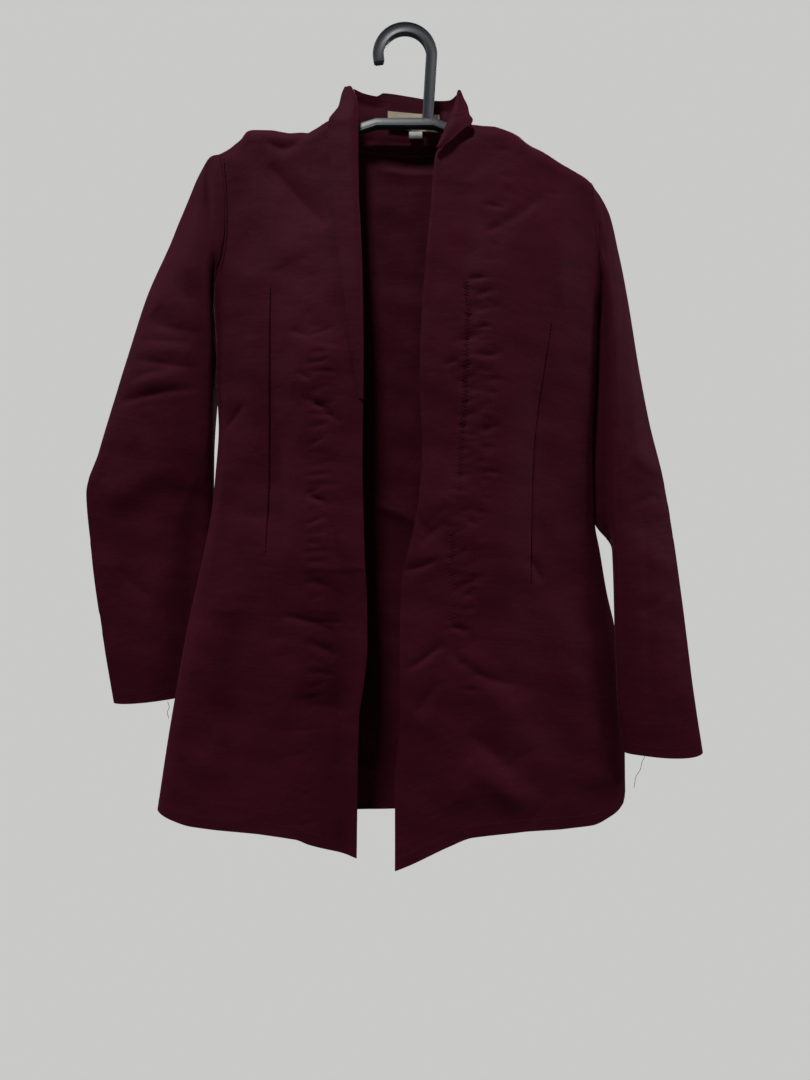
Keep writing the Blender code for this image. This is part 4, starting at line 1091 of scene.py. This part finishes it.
band = make_band()
lapel_right = make_lapel(LAPEL_RIGHT, panel_depth(EDGE_RIGHT, SIDE_RIGHT, DEPTH_RIGHT, FOLDS_RIGHT), 1.6)
lapel_left = make_lapel(LAPEL_LEFT, panel_depth(EDGE_LEFT, SIDE_LEFT, DEPTH_LEFT, FOLDS_LEFT), 1.4)
for name, panel in (("neck_band", band), ("lapel_right", lapel_right), ("lapel_left", lapel_left)):
    pieces[name] = cloth(f"{name}_cloth", panel.points, panel.out)
    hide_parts(name)
    print(name, "has", told(pieces[name]))

# %% [markdown]
# ## Sections along a path
#
# A moulding and a loose thread are made alike: a closed section is carried along a path, and each copy of it is
# joined to the next. The path lies in the plane of the hanger, so only its way to the left has to be worked out.

# %% Sections along a path
Side = namedtuple("Side", "aside y")


def swept(mesh, path, section, sizes):
    """Carries a closed section along a path in the X-Z plane; aside points to the left of the way."""
    path = np.array(path, float)
    way = np.gradient(path, axis=0)
    way /= np.linalg.norm(way, axis=1, keepdims=True)
    left = np.stack([-way[:, 1], way[:, 0]], -1)
    loops = [
        [
            mesh.verts.new((
                (place[0] + side[0] * s.aside * size) * MM, s.y * size * MM,
                (place[1] + side[1] * s.aside * size) * MM,
            ))
            for s in section
        ]
        for place, side, size in zip(path, left, sizes)
    ]
    for first, second in zip(loops, loops[1:]):
        for k in range(len(section)):
            after = (k + 1) % len(section)
            mesh.faces.new((first[k], first[after], second[after], second[k]))
    for end in (loops[0], loops[-1]):
        bmesh.ops.contextual_create(mesh, geom=end)


print("sections can be swept")

# %% [markdown]
# ## Stitches
#
# A stitch is a short thread that lies on the cloth and dives in at both ends: a stretched ball of a few dozen
# faces, half sunk. A ray from in front finds the place and the slope of the cloth under each one, so stitches
# follow every crease. All the stitches of one panel are one piece.

# %% Stitches
STITCH, PITCH, STITCH_THICK = 2.3, 3.3, 0.32
ZIGZAG_PITCH, ZIGZAG_REACH = 1.7, 3.6
LONGEST_STITCH = 4 * STITCH  # a longer one would bridge a gap in the cloth
# how thick the strips of painted seam shadow are
SEAM_SHADOW_THICK = 0.42
LINE_STEP = 4.0  # how close the places along a line of stitches lie
HEM_INSET = 3.0
HEM_STITCH = HEM_FOLD - 1.5
DART_ASIDE = 0.25


def surface(piece):
    data = piece.data
    return BVHTree.FromPolygons([v.co for v in data.vertices], [p.vertices for p in data.polygons])


def lay_stitch(mesh, tree, start, end, facing, thick=STITCH_THICK):
    """One stitch between two places (x, z), laid on the cloth that faces the given way along Y."""
    hits = []
    for x, z in (start, end):
        place, slope, _, _ = tree.ray_cast(Vector((x * MM, facing, z * MM)), Vector((0, -facing, 0)))
        if place is None:
            return
        hits.append((place, slope))
    way = hits[1][0] - hits[0][0]
    out = (hits[0][1] + hits[1][1]).normalized()
    if way.length > LONGEST_STITCH * MM or out.length < 0.5:
        return
    turn = Matrix((way.normalized(), out.cross(way).normalized(), out)).transposed().to_4x4()
    size = Matrix.Diagonal((way.length / 2, thick * MM, thick * MM, 1))
    place = Matrix.Translation((hits[0][0] + hits[1][0]) / 2) @ turn @ size
    bmesh.ops.create_uvsphere(mesh, u_segments=6, v_segments=4, radius=1, matrix=place)


def stitch_run(mesh, tree, points, facing, zigzag=0.0):
    """Stitches along a line of (x, z) places; a zigzag swings to either side."""
    points = np.array(points, float)
    at = np.concatenate([[0], np.cumsum(np.hypot(*np.diff(points, axis=0).T))])
    pitch, length = (ZIGZAG_PITCH, ZIGZAG_PITCH) if zigzag else (PITCH, STITCH)
    swing = 1
    for begin in np.arange(PITCH, at[-1] - PITCH, pitch):
        ends = [np.array([np.interp(begin + step, at, points[:, k]) for k in (0, 1)]) for step in (0, length)]
        if zigzag:
            ends[0][0] -= swing * zigzag
            ends[1][0] += swing * zigzag
            swing = -swing
        lay_stitch(mesh, tree, *ends, facing)


def down_places(table, aside=0.0):
    z = np.arange(table[0].z, table[-1].z, -LINE_STEP)
    return np.stack([curve(table, "z", "x")(z) + aside, z], -1)


def hem_places(hem):
    x = np.arange(hem[0].x + HEM_INSET, hem[-1].x - HEM_INSET, LINE_STEP)
    return np.stack([x, curve(hem, "x", "z")(x) + HEM_STITCH], -1)


def dart_places(dart):
    return down_places((dart.top, dart.middle, dart.bottom), DART_ASIDE * math.copysign(1, dart.step))


def sew(name, target, runs, facing=-1):
    """All the stitches of one panel: each run is a line of places and how far its zigzag swings."""
    mesh = bmesh.new()
    tree = surface(pieces[target])
    for points, zigzag in runs:
        stitch_run(mesh, tree, points, facing, zigzag)
    made = finish(name, mesh, [thread_finish.material], "cloth")
    print(name, "has", len(made.data.polygons), "faces")
    return made


def painted_seam_shadow(name, target, lines, thick=SEAM_SHADOW_THICK):
    """Painted shadow in a sewn seam: a thin, nearly black strip that lies half sunk along each line of (x, z)
    places.
    """
    mesh = bmesh.new()
    tree = surface(pieces[target])
    for places in lines:
        for start, end in zip(places, places[1:]):
            lay_stitch(mesh, tree, start, end, -1, thick)
    made = finish(name, mesh, [seam_shadow_finish.material], "cloth")
    print(name, "has", len(made.data.polygons), "faces")
    return made


print("stitches are", STITCH, "mm long")

# %% [markdown]
# ## Sewing the jacket
#
# The long stitched lines hold the facings, the short ones the hems and cuffs, and two small rings the snaps
# behind the right front. Along a dart's and an armhole's seam lies a thin, nearly black strip of painted shadow.
# Two loose ends hang from the cuffs.

# %% Sewing the jacket
ARMHOLE_SEAM_RIGHT = (
    Down(-124, -174.8), Down(-140, -173.2), Down(-157, -171.8), Down(-190, -171), Down(-219, -173.8),
    Down(-240, -178.5),
)
CUFF_RIGHT = ((-276.7, -639.1), (-251, -639.5), (-225.6, -635.2))
CUFF_LEFT = ((213, -686.4), (245, -690), (279, -688.4))
SNAPS = ((-54.6, -324.1), (-58.2, -401.4))
SNAP_RADIUS, SNAP_PLACES = 2.2, 10
Loose = namedtuple("Loose", "name depth places")
LOOSE = (
    Loose("loose_thread_left", -16.0, (
        Across(229.3, -699.4), Across(226.5, -705), Across(224.8, -712), Across(220.6, -719),
        Across(218.8, -729.5),
    )),
    Loose("loose_thread_right", 2.0, (
        Across(-232, -650.5), Across(-230.6, -656), Across(-232.4, -661), Across(-231, -667),
    )),
)
LOOSE_RADIUS, LOOSE_STEPS, LOOSE_SIDES = 0.22, 24, 6


def ring_places(middle):
    """Small stitches round the place where a snap is sewn on behind."""
    turns = np.linspace(0, 2 * math.pi, SNAP_PLACES)
    return np.stack([middle[0] + SNAP_RADIUS * np.cos(turns), middle[1] + SNAP_RADIUS * np.sin(turns)], -1)


def loose_thread(loose):
    """An end of thread that was never cut off, hanging from a cuff."""
    at = np.arange(len(loose.places), dtype=float)
    fine = smooth(at, np.array(loose.places, float))(np.linspace(0, at[-1], LOOSE_STEPS))
    turns = np.arange(LOOSE_SIDES) / LOOSE_SIDES * 2 * math.pi
    section = [Side(LOOSE_RADIUS * math.cos(a), loose.depth + LOOSE_RADIUS * math.sin(a)) for a in turns]
    mesh = bmesh.new()
    swept(mesh, fine, section, [1.0] * len(fine))
    bmesh.ops.recalc_face_normals(mesh, faces=mesh.faces)
    return finish(loose.name, mesh, [thread_finish.material], "cloth")


threads = {
    "front_right": sew("front_right_stitches", "front_right", [
        (down_places(FACING_RIGHT), 0), (hem_places(HEM_RIGHT), 0),
        *[(ring_places(snap), 0) for snap in SNAPS],
    ]),
    "front_left": sew("front_left_stitches", "front_left", [
        (down_places(FACING_LEFT), 0), (down_places(ZIGZAG_LEFT), ZIGZAG_REACH),
        (hem_places(HEM_LEFT), 0),
    ]),
    "back_panel": sew("back_stitches", "back_panel", [(hem_places(HEM_BACK), 0)], 1),
    "sleeve_right": sew("sleeve_right_stitches", "sleeve_right", [(CUFF_RIGHT, 0)]),
    "sleeve_left": sew("sleeve_left_stitches", "sleeve_left", [(CUFF_LEFT, 0)]),
}
# the seam pieces are painted shadow: nearly black strips along the darts and the right armhole seam
seams = {
    "front_right": painted_seam_shadow("front_right_seam_shadows", "front_right", [
        dart_places(DART_RIGHT), down_places(ARMHOLE_SEAM_RIGHT),
    ]),
    "front_left": painted_seam_shadow("front_left_seam_shadows", "front_left", [dart_places(DART_LEFT)]),
}
for loose in LOOSE:
    loose_thread(loose)
print(len(LOOSE), "loose threads")

# %% [markdown]
# ## Finishes of the label, the tag and the hanger
#
# The woven label is sewn inside the neck band along its short ends, and a small white tag hangs below it. Both
# are bare here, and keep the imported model's form. The hanger is of dark plastic, dull where hands have worn it.

# %% Finishes of the label, the tag and the hanger
def tape(name, dark, light, roughness, pitch, shine):
    """A small woven tape: ribs across it, and a slow unevenness."""
    made = Finish(name, light, roughness, Sheen_Weight=shine)
    place = made.node("ShaderNodeTexCoord", None, None, "Object")
    height = made.node("ShaderNodeSeparateXYZ", None, {"Vector": place}, "Z")
    ribs = (height * (2 * math.pi / pitch)).sine()
    wear = made.noise(place, 160.0, 3.0)
    made.set(
        Base_Color=made.mix(wear * 0.8 + ribs * 0.12, dark, light), Roughness=wear * 0.2 + (roughness - 0.1),
        Normal=made.bump(ribs + wear * 3, 0.5, 0.0001),
    )
    return made.material


def moulded(name, dark, light, roughness, **fixed):
    """Plastic from a mould: nearly even, with faint flow marks and the dull patches of handling."""
    made = Finish(name, dark, roughness, **fixed)
    place = made.node("ShaderNodeTexCoord", None, None, "Object")
    flow = made.noise(made.stretched(place, (14, 60, 40)), 1.0, 3.0)
    grain = made.noise(place, 900.0, 2.0)
    made.set(
        Base_Color=made.mix(flow, dark, light), Roughness=flow * 0.2 + grain * 0.1 + (roughness - 0.12),
        Normal=made.bump(flow + grain * 0.15, 0.3, 0.0003),
    )
    return made.material


label_finish = tape("label satin", (0.42, 0.33, 0.19), (0.66, 0.56, 0.38), 0.42, 0.0009, 0.2)
tag_finish = tape("white tape", (0.60, 0.60, 0.58), (0.82, 0.82, 0.80), 0.6, 0.0011, 0.05)
plastic_finish = moulded(
    "slate plastic", (0.028, 0.031, 0.038), (0.046, 0.051, 0.060), 0.4, Specular_IOR_Level=0.5
)
for node, material in (("neck_label", label_finish), ("size_tag", tag_finish)):
    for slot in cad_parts[node].material_slots:
        slot.material = material
print("the label and the tag have their finish")

# %% [markdown]
# ## Hanger
#
# The hanger is one moulding of thin walls: a flat hook and stem with a narrow rim on both edges, and arms that
# are a channel open below. The channel's front wall ends in a small ledge, which catches the lamp as a bright
# line. Both are a section carried along a path, smaller towards its ends.

# %% Hanger
HOOK_INNER, HOOK_BAND, HOOK_DEPTH = 20.5, 10.9, 8.5
HOOK_TIP_DROP, HOOK_TIP_LEAN, STEM_LEAN = 8.0, 0.8, 4.0
FLAT_HALF, FLAT_Z = 28.0, -86.0
ARM_REACH, ARM_DROOP = 171.6, 1.5
ARM_SLOPE, ARM_TILT = math.radians(19.5), math.radians(1.5)
RIM, RIM_RISE = 0.9, 0.45
HOOK_STEPS, STEM_STEPS, FLAT_STEPS, ARM_STEPS = 48, 12, 8, 30
TIP_TAPER = 0.45, 0.78, 0.97
ARM_TAPER = 0.55, 0.9


def hook_section():
    """Across the hook: a flat face with a rim along both edges, rounded behind."""
    half, deep = HOOK_BAND / 2, HOOK_DEPTH / 2
    edge = (
        Side(-half + 1.6, deep - 0.2), Side(-half + 0.4, deep - 1.4), Side(-half, -deep + 1.4),
        Side(-half + 0.4, -deep + 0.3), Side(-half + RIM, -deep), Side(-half + 1.5 * RIM, -deep + RIM_RISE),
    )
    return edge + tuple(Side(-s.aside, s.y) for s in edge[::-1])


def channel_section():
    """Across an arm: a channel open below, with a ledge at the foot of its front wall."""
    half, deep, wall = 4.5, 4.3, 1.5
    front = Side(half - 0.5, -deep + 1.8), Side(half - 1.7, -deep + 0.4), Side(-half + 1.9, -deep)
    ledge = Side(-half + 1.4, -deep - 0.8), Side(-half + 0.6, -deep - 1.1), Side(-half, -deep - 0.9)
    inside = (
        Side(-half, -deep + wall), Side(half - 2.2, -deep + wall + 0.2), Side(half - 2.2, deep - wall - 0.2),
        Side(-half, deep - wall),
    )
    rear = (
        Side(-half, deep), Side(half - 2.0, deep - 0.4), Side(half - 0.7, deep - 1.9), Side(half, deep - 3.4),
    )
    return front + ledge + inside + rear + (Side(half, -deep + 3.2),)


def arm_path(direction):
    along = np.linspace(0, ARM_REACH - FLAT_HALF, ARM_STEPS)
    drop = along * math.tan(ARM_SLOPE + direction * ARM_TILT) + ARM_DROOP * (along / along[-1]) ** 2
    return list(zip(direction * (FLAT_HALF + along), FLAT_Z - drop))


def make_hanger():
    middle = HOOK_INNER + HOOK_BAND / 2
    tip = [(-middle + HOOK_TIP_LEAN * t, -HOOK_INNER - HOOK_TIP_DROP * t) for t in (1.0, 0.93, 0.8, 0.5)]
    turns = np.linspace(math.pi, 0, HOOK_STEPS + 1)
    arc = [(middle * math.cos(a), -HOOK_INNER + middle * math.sin(a)) for a in turns]
    stem = [
        (middle - STEM_LEAN * t, -HOOK_INNER + (FLAT_Z + HOOK_INNER) * t)
        for t in np.linspace(0, 1, STEM_STEPS + 1)[1:]
    ]
    mesh = bmesh.new()
    hook = tip + arc + stem
    swept(mesh, hook, hook_section(), [*TIP_TAPER] + [1.0] * (len(hook) - len(TIP_TAPER)))
    flat = [(x, FLAT_Z) for x in np.linspace(-FLAT_HALF, FLAT_HALF, FLAT_STEPS + 1)[1:-1]]
    arms = arm_path(-1)[::-1] + flat + arm_path(1)
    full = [1.0] * (len(arms) - 2 * len(ARM_TAPER))
    swept(mesh, arms, channel_section(), [*ARM_TAPER, *full, *ARM_TAPER[::-1]])
    bmesh.ops.recalc_face_normals(mesh, faces=mesh.faces)
    return finish("hanger_moulding", mesh, [plastic_finish], "plastic")


hanger = make_hanger()
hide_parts("hanger")
print("hanger has", len(hanger.data.polygons), "faces")

# %% [markdown]
# ## Floor, sheet sizes and the end
#
# Every sheet of cloth is listed with the size that it was cut to.

# %% Floor
mesh = bmesh.new()
bmesh.ops.create_circle(mesh, cap_ends=True, segments=96, radius=FLOOR_RADIUS)
bmesh.ops.translate(mesh, verts=mesh.verts, vec=(0, 0, FLOOR_Z))
floor_data = bpy.data.meshes.new("floor")
mesh.to_mesh(floor_data)
mesh.free()
floor = bpy.data.objects.new("floor", floor_data)
pale = Finish("pale floor", (0.62, 0.62, 0.62), 0.8)
dust = pale.noise(pale.node("ShaderNodeTexCoord", None, None, "Object"), 3.0, 5.0)
pale.set(Base_Color=pale.mix(dust, (0.56, 0.56, 0.555), (0.66, 0.66, 0.655)), Roughness=dust * 0.2 + 0.7)
floor_data.materials.append(pale.material)
bpy.context.scene.collection.objects.link(floor)
print("floor at", FLOOR_Z, "m")

# %% Sheet sizes
Cut = namedtuple("Cut", "piece width length area")
CUTS = (
    Cut("front_right", 0.20, 0.70, 0.113), Cut("front_left", 0.23, 0.70, 0.130),
    Cut("back_panel", 0.46, 0.66, 0.262), Cut("sleeve_right", 0.26, 0.56, 0.097),
    Cut("sleeve_left", 0.16, 0.58, 0.067), Cut("neck_band", 0.145, 0.05, 0.0066),
    Cut("lapel_right", 0.03, 0.31, 0.0065), Cut("lapel_left", 0.02, 0.063, 0.0009),
)
for cut in CUTS:
    with_pieces = [sewn[cut.piece] for sewn in (threads, seams) if cut.piece in sewn]
print(len(CUTS), "sheets declared")
